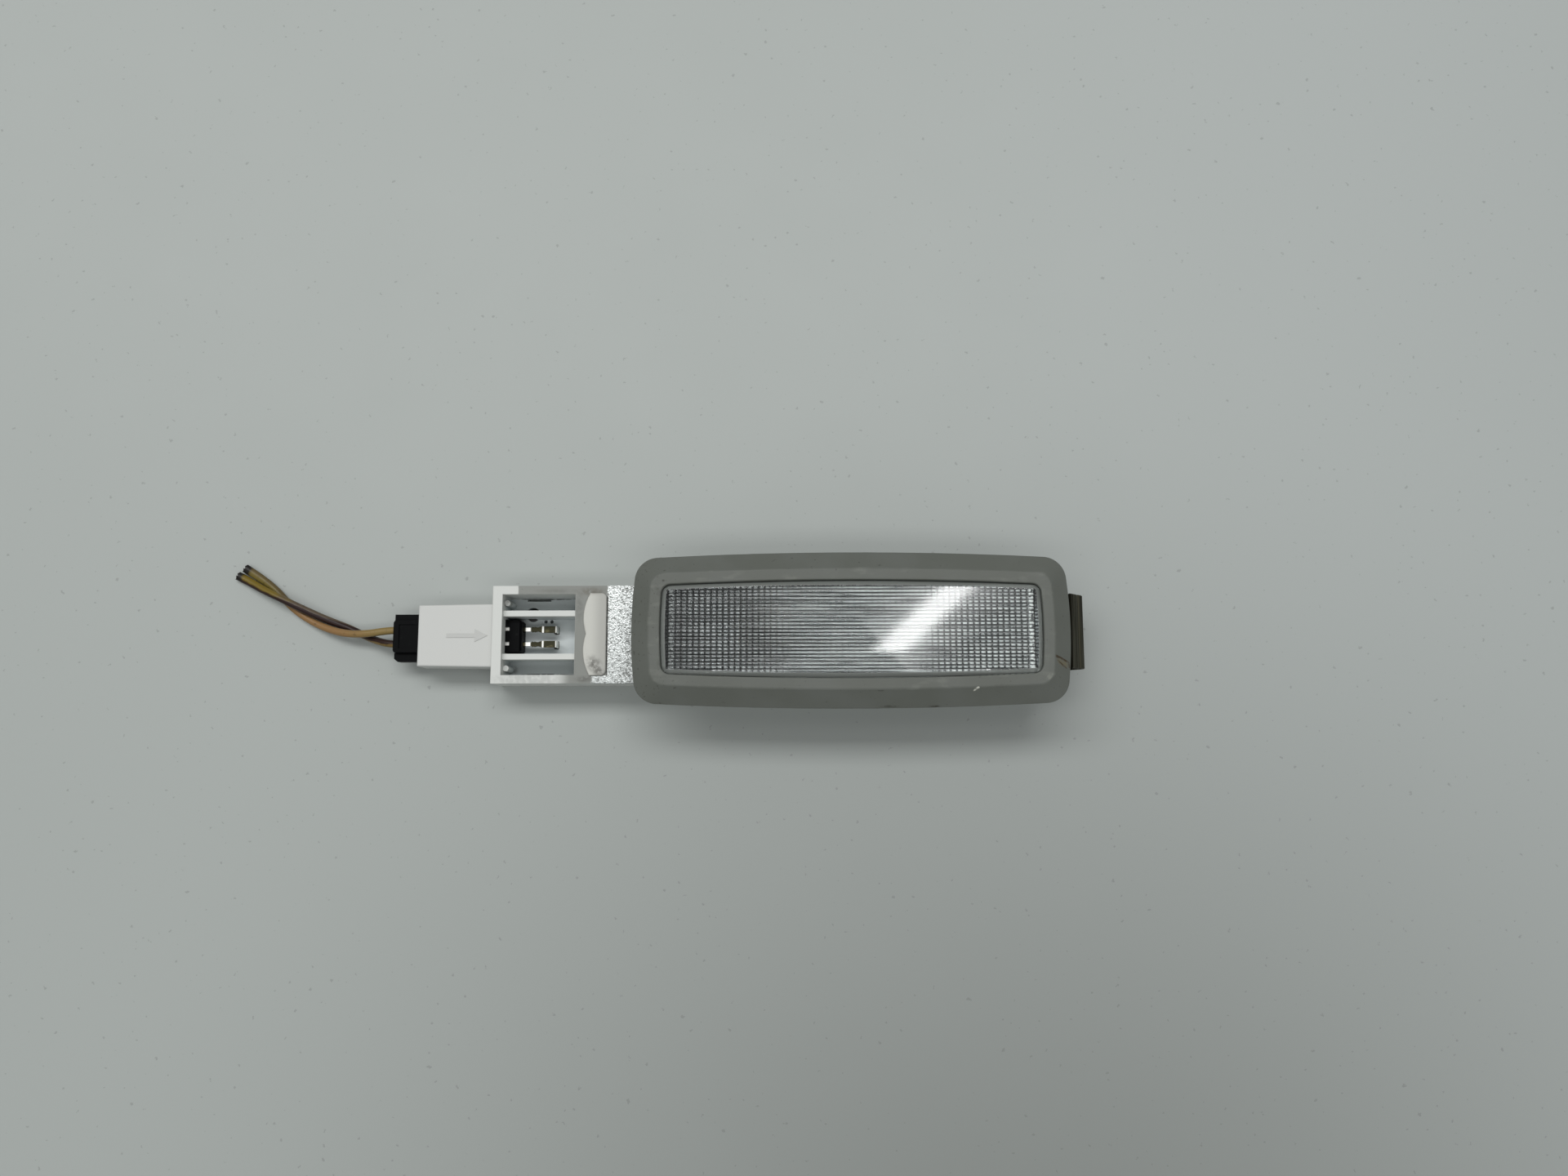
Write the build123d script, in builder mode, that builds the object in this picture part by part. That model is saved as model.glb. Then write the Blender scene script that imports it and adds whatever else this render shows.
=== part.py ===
from build123d import *
import math
import os

# Car interior dome light: a snap-in bezel and fluted lens on a metallised housing with a two-way plug.
# The origin is the middle of the housing's flat back, under the lens. +X points to the spring clip,
# -X to the plug and +Z out of the lens. All sizes are in millimetres.

# Bezel
bezel_length = 72.0
bezel_width = 25.7
bezel_corner = 3.9
bezel_edge = 0.7  # upright rim below the slope
bezel_rise = 3.0  # from the seat to the flat ring
bezel_slope = 3.05  # sloped band, in plan
ring_width = 1.8  # flat ring between the slope and the lens
ring_corner = 2.4
ring_thickness = 1.7
ring_round = 0.5
opening_corner = 1.6
opening_round = 0.25
side_bow_radius = 650.0  # bow of the long sides
end_bow_radius = 89.0  # bow of the short sides
seat_height = 14.0  # bezel seat above the housing's back
skirt_wall = 1.2
skirt_depth = 4.5  # below the seat
skirt_clearance = 0.1  # round the reflector box

# Lens
lens_gap = 0.15  # between the lens and the bezel's opening
lens_recess = 0.25  # lens face below the flat ring
lens_round = 0.7
flange_thickness = 1.1
flange_inset = 0.15  # flange edge inside the reflector box's outline
flange_clearance = 0.05  # under the bezel's ring
optic_end_margin = 2.4  # solid lens beyond the flutes at each end
optic_side_margin = 0.75
lens_plate = 1.3  # lens face to the tips of the flutes
flute_pitch = 0.58
flute_depth = 0.15

# Reflector box of the housing
box_length = 64.0
box_width = 18.0
box_corner = 2.5
box_wall = 1.3
floor_thickness = 1.6
snap_nub_length = 4.6
snap_nub_height = 1.5
snap_nub_rise = 0.9
snap_nub_reach = 20.0  # nub centres from the middle of the box
snap_nub_drop = 2.3  # nub centres below the bezel seat
snap_window_clearance = 0.2

# Connector window of the housing
frame_left = -60.45
frame_width = 16.55
frame_height = 8.4
frame_end_wall = 1.7
frame_side_wall = 1.41
frame_round = 0.2
window_length = 12.4
window_back_wall = 1.3
bay_roof = 1.5
rib_width = 0.97
rib_spacing = 7.37  # between the middles of the two guide ribs
rib_drop = 1.0  # rib tops below the rim
sill_length = 1.05
sill_height = 0.8
peg_radius = 0.5
peg_inset = 0.4  # middle of a peg from the window's end wall
peg_offset = 5.6  # from the connector's axis
peg_height = 4.8  # above the floor
floor_hole_radius = 1.25
floor_hole_x = -54.9
floor_hole_y = 4.08
floor_hole_web = 0.3  # left below the hole
floor_hole_relief = 1.8  # notch in the rib above the hole
vent_radius = 0.3
vent_x = (-52.65, -51.6)
vent_y = 2.85
drain_length = 4.1
drain_width = 0.45
drain_x = -53.85

# Raised pad beside the window
pad_right = -40.95
pad_length = 3.9  # to the tips of its two lobes
pad_lobe_depth = 1.1  # lobe tips ahead of the pad's outer ends
pad_cusp_depth = 0.4  # lobe tips ahead of the cusp between them
pad_width = 14.0
pad_rise = 0.5
pad_corner = 0.9
pad_round = 0.25

# Plug socket of the housing
socket_length = 12.95
socket_mouth_width = 10.42
socket_root_width = 10.84
socket_wall = 1.05
socket_round = 0.3
arrow_length = 7.0
arrow_head = 2.2
arrow_shaft = 0.7
mark_rise = 0.12

# Plug
plug_length = 22.1
plug_width = 5.5
plug_height = 3.7
plug_axis_height = 3.75
plug_rear_reach = 4.7  # plug left outside the socket
plug_clearance = 0.15
plug_shoulder_gap = 0.3  # ridge to the end of the socket
plug_rear_chamfer = 0.35
nose_chamfer = 0.35
nose_wall = 0.8
ridge_width = 1.1
ridge_height = 2.0
lock_width = 1.55
lock_height = 2.0
lock_setback = 0.15
ridge_setback = 0.1
lock_taper = 0.6
lock_lead = 0.5  # how far the taper narrows the lock
grip_recess = 0.2
grip_margin = 0.7
sight_slot_setback = 1.95  # slot across the nose, behind its face
sight_slot_length = 1.5
sight_slot_depth = 0.35
sight_length = 1.1  # hole in the slot above each terminal
sight_width = 0.62

# Terminals
pin_pitch = 2.54
cavity_width = 2.1
cavity_height = 2.6
sleeve_wall = 0.2
sleeve_length = 7.0
terminal_width = 1.5
terminal_height = 1.9
terminal_length = 8.5
terminal_bore = 1.0
terminal_web = 0.75  # solid end behind the bore
terminal_clearance = 0.03
crimp_radius = 0.95
crimp_overlap = 1.2  # wire held in the end of the crimp

# Contact strips
strip_thickness = 0.6
strip_width = 1.6
strip_clearance = 0.12
groove_depth = 1.0
pin_width = 0.64
pin_taper = 0.8
pin_tip_width = 0.32
pin_engagement = 5.6  # pin inside its terminal
neck_width = 0.72
blade_width = 1.12
blade_end = -50.32
blade_length = 2.8
neck_length = 1.4
blade_corner = 0.3
barb_rise = 0.12
barb_pitch = 0.45
jog_x = -28.0  # where the long strip steps aside
jog_offset = 4.25  # how far it steps
stake_radius = 0.45
stake_hole_clearance = 0.1
stake_head_radius = 0.75
stake_head_height = 0.3
stake_x_short = -25.0
stake_x_long = (-22.0, 6.0)

# Festoon bulb
bulb_length = 36.0
bulb_axis_height = 8.2
glass_radius = 4.8
glass_wall = 0.5
glass_body_length = 16.4
glass_neck_radius = 3.4
glass_shoulder = 2.0
cap_wall = 0.4
cap_length = 8.0
cap_cone_length = 2.2
cap_tip_radius = 1.0
cap_clearance = 0.15
cap_seat_gap = 0.4  # glass end to the bottom of the cap
lead_radius = 0.25
lead_clearance = 0.05
filament_length = 10.0
filament_radius = 0.5
tab_width = 5.0
tab_top_margin = 2.4  # tab above the bulb's axis
tab_grip = 0.5  # bulb tip in the tab's hole
tab_hole_clearance = 0.1

# Spring clip
clip_thickness = 0.5
clip_width = 12.4
clip_foot_gap = 0.45  # foot above the floor of the box
clip_foot_reach = 1.75  # hook behind the outside of the end wall
clip_hook_height = 1.5
clip_toe = 2.6  # foot outside the end wall
clip_crest_reach = 7.4  # crest beyond the end wall
clip_crest_height = 9.4
clip_tip_reach = 4.55
clip_tip_height = 12.4
clip_bend = 0.9
clip_slot_height = 1.35
clip_slot_clearance = 0.2
clip_well_room = 0.7  # behind the hook, which rocks
clip_well_headroom = 0.4
clip_well_wall = 1.0

# Wires, cut off bare
wire_diameter = 1.3
core_diameter = 0.78
core_clearance = 0.03
run_share = 0.45  # share of a run that the arc at its end may take
tan_route = [
    (-75.4, 1.27, 3.75),
    (-79.1, 1.27, 3.75),
    (-83.1, 0.62, 3.62),
    (-87.1, 0.70, 2.72),
    (-91.0, 1.75, 1.45),
    (-94.6, 3.45, 0.75),
    (-97.7, 5.65, 0.68),
    (-100.2, 8.45, 0.67),
    (-102.9, 10.95, 0.68),
    (-105.8, 13.05, 0.67),
]
dark_route = [
    (-75.4, -1.27, 3.75),
    (-78.7, -1.27, 3.75),
    (-81.8, -0.50, 2.50),
    (-84.6, 0.65, 1.40),
    (-87.4, 1.95, 0.95),
    (-90.4, 3.05, 1.05),
    (-93.4, 4.35, 1.55),
    (-96.6, 5.85, 2.25),
    (-99.7, 7.35, 2.22),
    (-102.7, 8.75, 1.50),
    (-105.4, 10.10, 0.82),
    (-107.5, 11.20, 0.67),
]

# Levels and places that follow from the sizes above
bezel_top = seat_height + bezel_rise
ring_length = bezel_length - 2 * bezel_slope
ring_span = bezel_width - 2 * bezel_slope
opening_length = ring_length - 2 * ring_width
opening_span = ring_span - 2 * ring_width
ring_underside = bezel_top - ring_thickness
pocket_length = box_length + 2 * skirt_clearance
pocket_width = box_width + 2 * skirt_clearance
pocket_corner = box_corner + skirt_clearance
skirt_bottom = seat_height - skirt_depth
snap_height = seat_height - snap_nub_drop

flange_top = ring_underside - flange_clearance
flange_bottom = flange_top - flange_thickness
flange_length = box_length - 2 * flange_inset
flange_width = box_width - 2 * flange_inset
lens_length = opening_length - 2 * lens_gap
lens_width = opening_span - 2 * lens_gap
lens_top = bezel_top - lens_recess
optic_length = lens_length - 2 * optic_end_margin
optic_width = lens_width - 2 * optic_side_margin
optic_ceiling = lens_top - lens_plate
flute_count = int(optic_width / flute_pitch)
flute_radius = (flute_pitch**2 / 4 + flute_depth**2) / (2 * flute_depth)

box_top = flange_bottom
box_left = -box_length / 2
box_right = box_length / 2
window_left = frame_left + frame_end_wall
window_right = window_left + window_length
window_width = frame_width - 2 * frame_side_wall
bay_left = window_right + window_back_wall
pad_left = pad_right - pad_length

socket_left = frame_left - socket_length
plug_rear = socket_left - plug_rear_reach
plug_front = plug_rear + plug_length
plug_bottom = plug_axis_height - plug_height / 2
plug_top = plug_axis_height + plug_height / 2
socket_bottom = plug_bottom - plug_clearance - socket_wall
socket_top = plug_top + plug_clearance + socket_wall
bore_end = frame_left - socket_wall
ridge_front = bore_end - plug_shoulder_gap
ridge_length = ridge_front - plug_rear
pin_y = pin_pitch / 2

terminal_front = plug_front - nose_wall - terminal_clearance
terminal_rear = terminal_front - terminal_length
wire_start_x = tan_route[0][0]
crimp_rear = wire_start_x - crimp_overlap
crimp_length = terminal_rear - crimp_rear

strip_bottom = groove_depth - strip_thickness
blade_start = blade_end - blade_length
neck_start = blade_start - neck_length
pin_tip = terminal_front - pin_engagement
tab_inner = bulb_length / 2 - tab_grip
tab_outer = tab_inner + strip_thickness
tab_top = bulb_axis_height + tab_top_margin
long_strip_y = -pin_y - jog_offset
cap_start = bulb_length / 2 - cap_length
glass_end = bulb_length / 2 - cap_cone_length - cap_wall - cap_seat_gap
lead_end = bulb_length / 2 - cap_cone_length - cap_wall
cap_bore = glass_neck_radius + cap_clearance
cap_radius = cap_bore + cap_wall
cap_slope = (cap_radius - cap_tip_radius) / cap_cone_length
tab_hole_radius = cap_tip_radius + cap_slope * tab_grip + tab_hole_clearance

clip_foot_z = floor_thickness + clip_foot_gap + clip_thickness / 2
clip_hook_x = box_right - clip_foot_reach
clip_well_left = clip_hook_x - clip_thickness / 2 - clip_well_room
clip_well_top = clip_foot_z + clip_hook_height + clip_well_headroom

bulb_axis = Axis((0, 0, bulb_axis_height), (1, 0, 0))

os.makedirs("parts", exist_ok=True)


def bow(half_span, radius):
    """Height of an arc of that radius above half of its chord."""
    return radius - math.sqrt(radius**2 - half_span**2)


def bowed_outline(length, width, corner):
    """Rounded rectangle whose four sides bow outwards."""
    corner_x = length / 2 - bow(width / 2, end_bow_radius)
    corner_y = width / 2 - bow(length / 2, side_bow_radius)
    with BuildSketch() as outline:
        with BuildLine():
            ThreePointArc((-corner_x, corner_y), (0, width / 2), (corner_x, corner_y))
            ThreePointArc((corner_x, corner_y), (length / 2, 0), (corner_x, -corner_y))
            ThreePointArc((corner_x, -corner_y), (0, -width / 2), (-corner_x, -corner_y))
            ThreePointArc((-corner_x, -corner_y), (-length / 2, 0), (-corner_x, corner_y))
        make_face()
        fillet(outline.vertices(), corner)
    return outline.sketch


def block(x_from, x_to, y_from, y_to, z_from, z_to):
    """Box between two corners."""
    with BuildPart() as made:
        with Locations(((x_from + x_to) / 2, (y_from + y_to) / 2, (z_from + z_to) / 2)):
            Box(x_to - x_from, y_to - y_from, z_to - z_from)
    return made.part


def finish(builder, label):
    """Label a finished piece and write it."""
    builder.part.label = label
    export_step(builder.part, f"parts/{label}.step")


# Bezel
with BuildPart() as bezel:
    with BuildSketch(Plane.XY.offset(seat_height)):
        add(bowed_outline(bezel_length, bezel_width, bezel_corner))
    extrude(amount=bezel_edge)
    with BuildSketch(Plane.XY.offset(seat_height + bezel_edge)):
        add(bowed_outline(bezel_length, bezel_width, bezel_corner))
    with BuildSketch(Plane.XY.offset(bezel_top)):
        add(bowed_outline(ring_length, ring_span, ring_corner))
    loft(ruled=True)
    fillet(bezel.faces().sort_by(Axis.Z)[-1].edges(), ring_round)
    with BuildSketch(Plane.XY.offset(skirt_bottom)):
        RectangleRounded(
            pocket_length + 2 * skirt_wall, pocket_width + 2 * skirt_wall, pocket_corner + skirt_wall
        )
    extrude(amount=skirt_depth)
    with BuildSketch(Plane.XY.offset(skirt_bottom)):
        RectangleRounded(pocket_length, pocket_width, pocket_corner)
    extrude(amount=ring_underside - skirt_bottom, mode=Mode.SUBTRACT)
    with BuildSketch(Plane.XY.offset(ring_underside)):
        add(bowed_outline(opening_length, opening_span, opening_corner))
    extrude(amount=ring_thickness, mode=Mode.SUBTRACT)
    fillet(bezel.faces().sort_by(Axis.Z)[-1].inner_wires()[0].edges(), opening_round)
    with Locations((-snap_nub_reach, 0, snap_height), (snap_nub_reach, 0, snap_height)):
        Box(
            snap_nub_length + 2 * snap_window_clearance,
            pocket_width + 4 * skirt_wall,
            snap_nub_height + 2 * snap_window_clearance,
            mode=Mode.SUBTRACT,
        )
finish(bezel, "bezel")

# Lens
with BuildPart() as lens:
    with BuildSketch(Plane.XY.offset(flange_bottom)):
        RectangleRounded(flange_length, flange_width, box_corner - flange_inset)
    extrude(amount=flange_thickness)
    with BuildSketch(Plane.XY.offset(flange_bottom)):
        add(bowed_outline(lens_length, lens_width, opening_corner - lens_gap))
    extrude(amount=lens_top - flange_bottom)
    fillet(lens.faces().sort_by(Axis.Z)[-1].edges(), lens_round)
    with BuildSketch(Plane.XY.offset(flange_bottom)):
        Rectangle(optic_length, optic_width)
    extrude(amount=optic_ceiling - flange_bottom, mode=Mode.SUBTRACT)
    with BuildSketch(Plane.YZ.offset(-optic_length / 2)):
        with Locations((0, optic_ceiling + flute_depth - flute_radius)):
            with GridLocations(flute_pitch, 0, flute_count, 1):
                Circle(flute_radius)
    extrude(amount=optic_length, mode=Mode.SUBTRACT)
finish(lens, "lens")

# Housing: reflector box, connector window, pad and plug socket in one moulding
with BuildPart() as housing:
    with BuildSketch():
        RectangleRounded(box_length, box_width, box_corner)
    extrude(amount=box_top)
    add(block(frame_left, box_left + box_corner, -frame_width / 2, frame_width / 2, 0, frame_height))
    fillet(
        housing.edges().filter_by(Axis.Y).filter_by_position(Axis.X, frame_left - 1, frame_left + 1),
        frame_round,
    )
    with BuildSketch(Plane.XY.offset(socket_bottom)):
        with BuildLine():
            Polyline(
                (socket_left, -socket_mouth_width / 2),
                (frame_left + frame_round, -socket_root_width / 2),
                (frame_left + frame_round, socket_root_width / 2),
                (socket_left, socket_mouth_width / 2),
                close=True,
            )
        make_face()
    extrude(amount=socket_top - socket_bottom)
    fillet(
        housing.edges().filter_by_position(Axis.X, socket_left, frame_left - frame_round)
        .group_by(Axis.Z)[-1],
        socket_round,
    )

    # Hollows
    with BuildSketch(Plane.XY.offset(floor_thickness)):
        RectangleRounded(box_length - 2 * box_wall, box_width - 2 * box_wall, box_corner - box_wall)
    extrude(amount=box_top, mode=Mode.SUBTRACT)
    add(
        block(window_left, window_right, -window_width / 2, window_width / 2,
              floor_thickness, frame_height),
        mode=Mode.SUBTRACT,
    )
    add(
        block(bay_left, box_left, -window_width / 2, window_width / 2, 0, frame_height - bay_roof),
        mode=Mode.SUBTRACT,
    )
    add(
        block(socket_left, bore_end,
              -plug_width / 2 - lock_width - plug_clearance, plug_width / 2 + ridge_width + plug_clearance,
              plug_bottom - plug_clearance, plug_top + plug_clearance),
        mode=Mode.SUBTRACT,
    )
    add(
        block(bore_end, window_left,
              -plug_width / 2 - plug_clearance, plug_width / 2 + plug_clearance,
              plug_bottom - plug_clearance, plug_top + plug_clearance),
        mode=Mode.SUBTRACT,
    )

    # Window furniture
    for side in (-1, 1):
        rib_y = side * rib_spacing / 2
        add(
            block(window_left, window_right, rib_y - rib_width / 2, rib_y + rib_width / 2,
                  floor_thickness, frame_height - rib_drop)
        )
        with Locations((window_left + peg_inset, side * peg_offset, floor_thickness)):
            Cylinder(peg_radius, peg_height, align=(Align.CENTER, Align.CENTER, Align.MIN))
    add(
        block(window_right - sill_length, window_right, -window_width / 2, window_width / 2,
              floor_thickness, floor_thickness + sill_height)
    )
    with Locations((floor_hole_x, floor_hole_y, floor_hole_web)):
        Cylinder(
            floor_hole_radius,
            floor_thickness + floor_hole_relief - floor_hole_web,
            align=(Align.CENTER, Align.CENTER, Align.MIN),
            mode=Mode.SUBTRACT,
        )
    with Locations((vent_x[0], vent_y, 0), (vent_x[1], vent_y, 0)):
        Cylinder(
            vent_radius,
            floor_thickness,
            align=(Align.CENTER, Align.CENTER, Align.MIN),
            mode=Mode.SUBTRACT,
        )
    add(
        block(drain_x - drain_length / 2, drain_x + drain_length / 2,
              window_width / 2 - drain_width, window_width / 2, 0, floor_thickness),
        mode=Mode.SUBTRACT,
    )

    # Pad with two lobes towards the window
    with BuildSketch(Plane.XY.offset(frame_height)) as pad:
        pad_end = pad_left + pad_lobe_depth
        with BuildLine():
            Polyline(
                (pad_end, pad_width / 2),
                (pad_right, pad_width / 2),
                (pad_right, -pad_width / 2),
                (pad_end, -pad_width / 2),
            )
            ThreePointArc(
                (pad_end, -pad_width / 2), (pad_left, -pad_width / 4), (pad_left + pad_cusp_depth, 0)
            )
            ThreePointArc(
                (pad_left + pad_cusp_depth, 0), (pad_left, pad_width / 4), (pad_end, pad_width / 2)
            )
        make_face()
        fillet(pad.vertices().group_by(Axis.X)[-1], pad_corner)
    extrude(amount=pad_rise)
    fillet(housing.faces().filter_by(Plane.XY).sort_by(Axis.Z)[-2].edges(), pad_round)

    # Plain arrow on the socket, towards the lamp
    arrow_tip = frame_left - socket_wall
    with BuildSketch(Plane.XY.offset(socket_top)):
        with BuildLine():
            Polyline(
                (arrow_tip, 0),
                (arrow_tip - arrow_head, arrow_head / 2),
                (arrow_tip - arrow_head, arrow_shaft / 2),
                (arrow_tip - arrow_length, arrow_shaft / 2),
                (arrow_tip - arrow_length, -arrow_shaft / 2),
                (arrow_tip - arrow_head, -arrow_shaft / 2),
                (arrow_tip - arrow_head, -arrow_head / 2),
                close=True,
            )
        make_face()
    extrude(amount=mark_rise)

    # Snap nubs for the bezel
    for x in (-snap_nub_reach, snap_nub_reach):
        for side in (-1, 1):
            with Locations((x, side * (box_width + snap_nub_rise) / 2, snap_height)):
                Box(snap_nub_length, snap_nub_rise, snap_nub_height)

    # Well for the spring clip's hook, open at the back, and the slot that its foot passes through
    half_box = box_width / 2 - box_wall
    half_slot = clip_width / 2 + clip_slot_clearance
    well_right = box_right - box_wall
    add(
        block(clip_well_left - clip_well_wall, well_right, -half_box, half_box,
              floor_thickness, clip_well_top + clip_well_wall)
    )
    add(
        block(clip_well_left, well_right, -half_slot, half_slot, 0, clip_well_top),
        mode=Mode.SUBTRACT,
    )
    add(
        block(well_right, box_right, -half_slot, half_slot,
              floor_thickness, floor_thickness + clip_slot_height),
        mode=Mode.SUBTRACT,
    )

    # Grooves and slots for the contact strips, cut into the back
    half_groove = strip_width / 2 + strip_clearance
    half_leg = blade_width / 2 + strip_clearance
    half_tab = tab_width / 2 + strip_clearance
    leg_left = blade_end - strip_thickness - strip_clearance
    leg_right = blade_end + strip_clearance
    tab_slot_inner = tab_inner - strip_clearance
    tab_slot_outer = tab_outer + strip_clearance
    hollows = [
        block(leg_left, -tab_slot_inner, pin_y - half_groove, pin_y + half_groove, 0, groove_depth),
        block(leg_left, leg_right, pin_y - half_leg, pin_y + half_leg, 0, floor_thickness),
        block(-tab_slot_outer, -tab_slot_inner, -half_tab, half_tab, 0, floor_thickness),
        block(leg_left, jog_x + half_groove, -pin_y - half_groove, -pin_y + half_groove,
              0, groove_depth),
        block(leg_left, leg_right, -pin_y - half_leg, -pin_y + half_leg, 0, floor_thickness),
        block(jog_x - half_groove, jog_x + half_groove, long_strip_y - half_groove, -pin_y + half_groove,
              0, groove_depth),
        block(jog_x - half_groove, tab_slot_outer, long_strip_y - half_groove,
              long_strip_y + half_groove, 0, groove_depth),
        block(tab_slot_outer - 2 * half_groove, tab_slot_outer, long_strip_y - half_groove, half_tab,
              0, groove_depth),
        block(tab_slot_inner, tab_slot_outer, -half_tab, half_tab, 0, floor_thickness),
    ]
    for hollow in hollows:
        add(hollow, mode=Mode.SUBTRACT)

    # Heat-staked heads that hold the strips
    stakes = [(stake_x_short, pin_y)] + [(x, long_strip_y) for x in stake_x_long]
    for x, y in stakes:
        with Locations((x, y, strip_bottom)):
            Cylinder(
                stake_radius, strip_thickness, align=(Align.CENTER, Align.CENTER, Align.MIN)
            )
            Cylinder(
                stake_head_radius, stake_head_height, align=(Align.CENTER, Align.CENTER, Align.MAX)
            )
finish(housing, "housing")


def pin_outline(y):
    """Pin, barbed neck and blade of one contact strip, drawn flat about that axis."""
    half_pin = pin_width / 2
    half_neck = neck_width / 2
    half_blade = blade_width / 2
    upper = [
        (pin_tip, pin_tip_width / 2),
        (pin_tip + pin_taper, half_pin),
        (neck_start, half_pin),
        (neck_start, half_neck + barb_rise),
        (neck_start + barb_pitch, half_neck),
        (neck_start + barb_pitch, half_neck + barb_rise),
        (neck_start + 2 * barb_pitch, half_neck),
        (blade_start - blade_corner, half_neck),
        (blade_start + blade_corner, half_blade),
        (blade_end, half_blade),
    ]
    lower = [(x, -offset) for x, offset in reversed(upper)]
    with BuildSketch() as outline:
        with BuildLine():
            Polyline([(x, y + offset) for x, offset in upper + lower], close=True)
        make_face()
    return outline.sketch


def contact_strip(y, runs, tab_from, tab_y_low, stake_points):
    """One stamped strip: pin, leg through the floor, runs on the back and a bulb tab."""
    blade_bottom = plug_axis_height - strip_thickness / 2
    blade_top = plug_axis_height + strip_thickness / 2
    through = 4 * strip_thickness
    with BuildPart() as strip:
        with BuildSketch(Plane.XY.offset(blade_bottom)):
            add(pin_outline(y))
        extrude(amount=strip_thickness)
        add(
            block(blade_end - strip_thickness, blade_end, y - blade_width / 2, y + blade_width / 2,
                  strip_bottom, blade_top)
        )
        for x_from, x_to, y_from, y_to in runs:
            add(block(x_from, x_to, y_from, y_to, strip_bottom, groove_depth))
        add(
            block(tab_from, tab_from + strip_thickness, tab_y_low, tab_width / 2,
                  strip_bottom, groove_depth)
        )
        add(
            block(tab_from, tab_from + strip_thickness, -tab_width / 2, tab_width / 2,
                  strip_bottom, tab_top)
        )
        with Locations(Location((tab_from, 0, bulb_axis_height), (0, 90, 0))):
            Cylinder(tab_hole_radius, through, mode=Mode.SUBTRACT)
        with Locations(*[(x, y_stake, strip_bottom) for x, y_stake in stake_points]):
            Cylinder(stake_radius + stake_hole_clearance, through, mode=Mode.SUBTRACT)
    return strip


half_strip = strip_width / 2
contact_strip_left = contact_strip(
    pin_y,
    [(blade_end - strip_thickness, -tab_inner, pin_y - half_strip, pin_y + half_strip)],
    -tab_outer,
    -tab_width / 2,
    [(stake_x_short, pin_y)],
)
finish(contact_strip_left, "contact_strip_left")

contact_strip_right = contact_strip(
    -pin_y,
    [
        (blade_end - strip_thickness, jog_x + half_strip, -pin_y - half_strip, -pin_y + half_strip),
        (jog_x - half_strip, jog_x + half_strip, long_strip_y - half_strip, -pin_y + half_strip),
        (jog_x - half_strip, tab_outer, long_strip_y - half_strip, long_strip_y + half_strip),
        (tab_outer - strip_width, tab_outer, long_strip_y - half_strip, tab_width / 2),
    ],
    tab_inner,
    long_strip_y - half_strip,
    [(x, long_strip_y) for x in stake_x_long],
)
finish(contact_strip_right, "contact_strip_right")

# Spring clip: hook behind the end wall, foot, leaf, crest and tip
with BuildPart() as spring_clip:
    with BuildSketch(Plane.XZ.offset(-clip_width / 2)):
        with BuildLine() as leaf:
            FilletPolyline(
                (clip_hook_x, clip_foot_z + clip_hook_height),
                (clip_hook_x, clip_foot_z),
                (box_right + clip_toe, clip_foot_z),
                (box_right + clip_crest_reach, clip_crest_height),
                (box_right + clip_tip_reach, clip_tip_height),
                radius=[clip_thickness, clip_bend, clip_bend],
            )
        trace(leaf.line, clip_thickness)
    extrude(amount=clip_width)
finish(spring_clip, "spring_clip")

# Festoon bulb
with BuildPart() as bulb_glass:
    half_body = glass_body_length / 2
    neck_x = half_body + glass_shoulder
    inner_end = glass_end - glass_wall
    inner_body = glass_radius - glass_wall
    inner_neck = glass_neck_radius - glass_wall
    lead_bore = lead_radius + lead_clearance
    with BuildSketch(Plane.XZ):
        with BuildLine():
            Polyline(
                (-glass_end, bulb_axis_height + lead_bore),
                (-glass_end, bulb_axis_height + glass_neck_radius),
                (-neck_x, bulb_axis_height + glass_neck_radius),
                (-half_body, bulb_axis_height + glass_radius),
                (half_body, bulb_axis_height + glass_radius),
                (neck_x, bulb_axis_height + glass_neck_radius),
                (glass_end, bulb_axis_height + glass_neck_radius),
                (glass_end, bulb_axis_height + lead_bore),
                (inner_end, bulb_axis_height + lead_bore),
                (inner_end, bulb_axis_height + inner_neck),
                (neck_x, bulb_axis_height + inner_neck),
                (half_body, bulb_axis_height + inner_body),
                (-half_body, bulb_axis_height + inner_body),
                (-neck_x, bulb_axis_height + inner_neck),
                (-inner_end, bulb_axis_height + inner_neck),
                (-inner_end, bulb_axis_height + lead_bore),
                close=True,
            )
        make_face()
    revolve(axis=bulb_axis)
finish(bulb_glass, "bulb_glass")


def bulb_cap(side):
    """End cap of the bulb: a thin cup with a blunt cone, on that side along X."""
    cone_base = bulb_length / 2 - cap_cone_length
    with BuildPart() as cap:
        with BuildSketch(Plane.XZ):
            with BuildLine():
                Polyline(
                    (side * cap_start, bulb_axis_height + cap_bore),
                    (side * cap_start, bulb_axis_height + cap_radius),
                    (side * cone_base, bulb_axis_height + cap_radius),
                    (side * bulb_length / 2, bulb_axis_height + cap_tip_radius),
                    (side * bulb_length / 2, bulb_axis_height),
                    (side * lead_end, bulb_axis_height),
                    (side * lead_end, bulb_axis_height + cap_bore),
                    close=True,
                )
            make_face()
        revolve(axis=bulb_axis)
    return cap


finish(bulb_cap(-1), "bulb_cap_left")
finish(bulb_cap(1), "bulb_cap_right")

with BuildPart() as bulb_filament:
    with Locations(Location((0, 0, bulb_axis_height), (0, 90, 0))):
        Cylinder(filament_radius, filament_length)
finish(bulb_filament, "bulb_filament")

with BuildPart() as bulb_leads:
    for side in (-1, 1):
        middle = side * (filament_length / 2 + lead_end) / 2
        with Locations(Location((middle, 0, bulb_axis_height), (0, 90, 0))):
            Cylinder(lead_radius, lead_end - filament_length / 2)
finish(bulb_leads, "bulb_leads")

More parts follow.
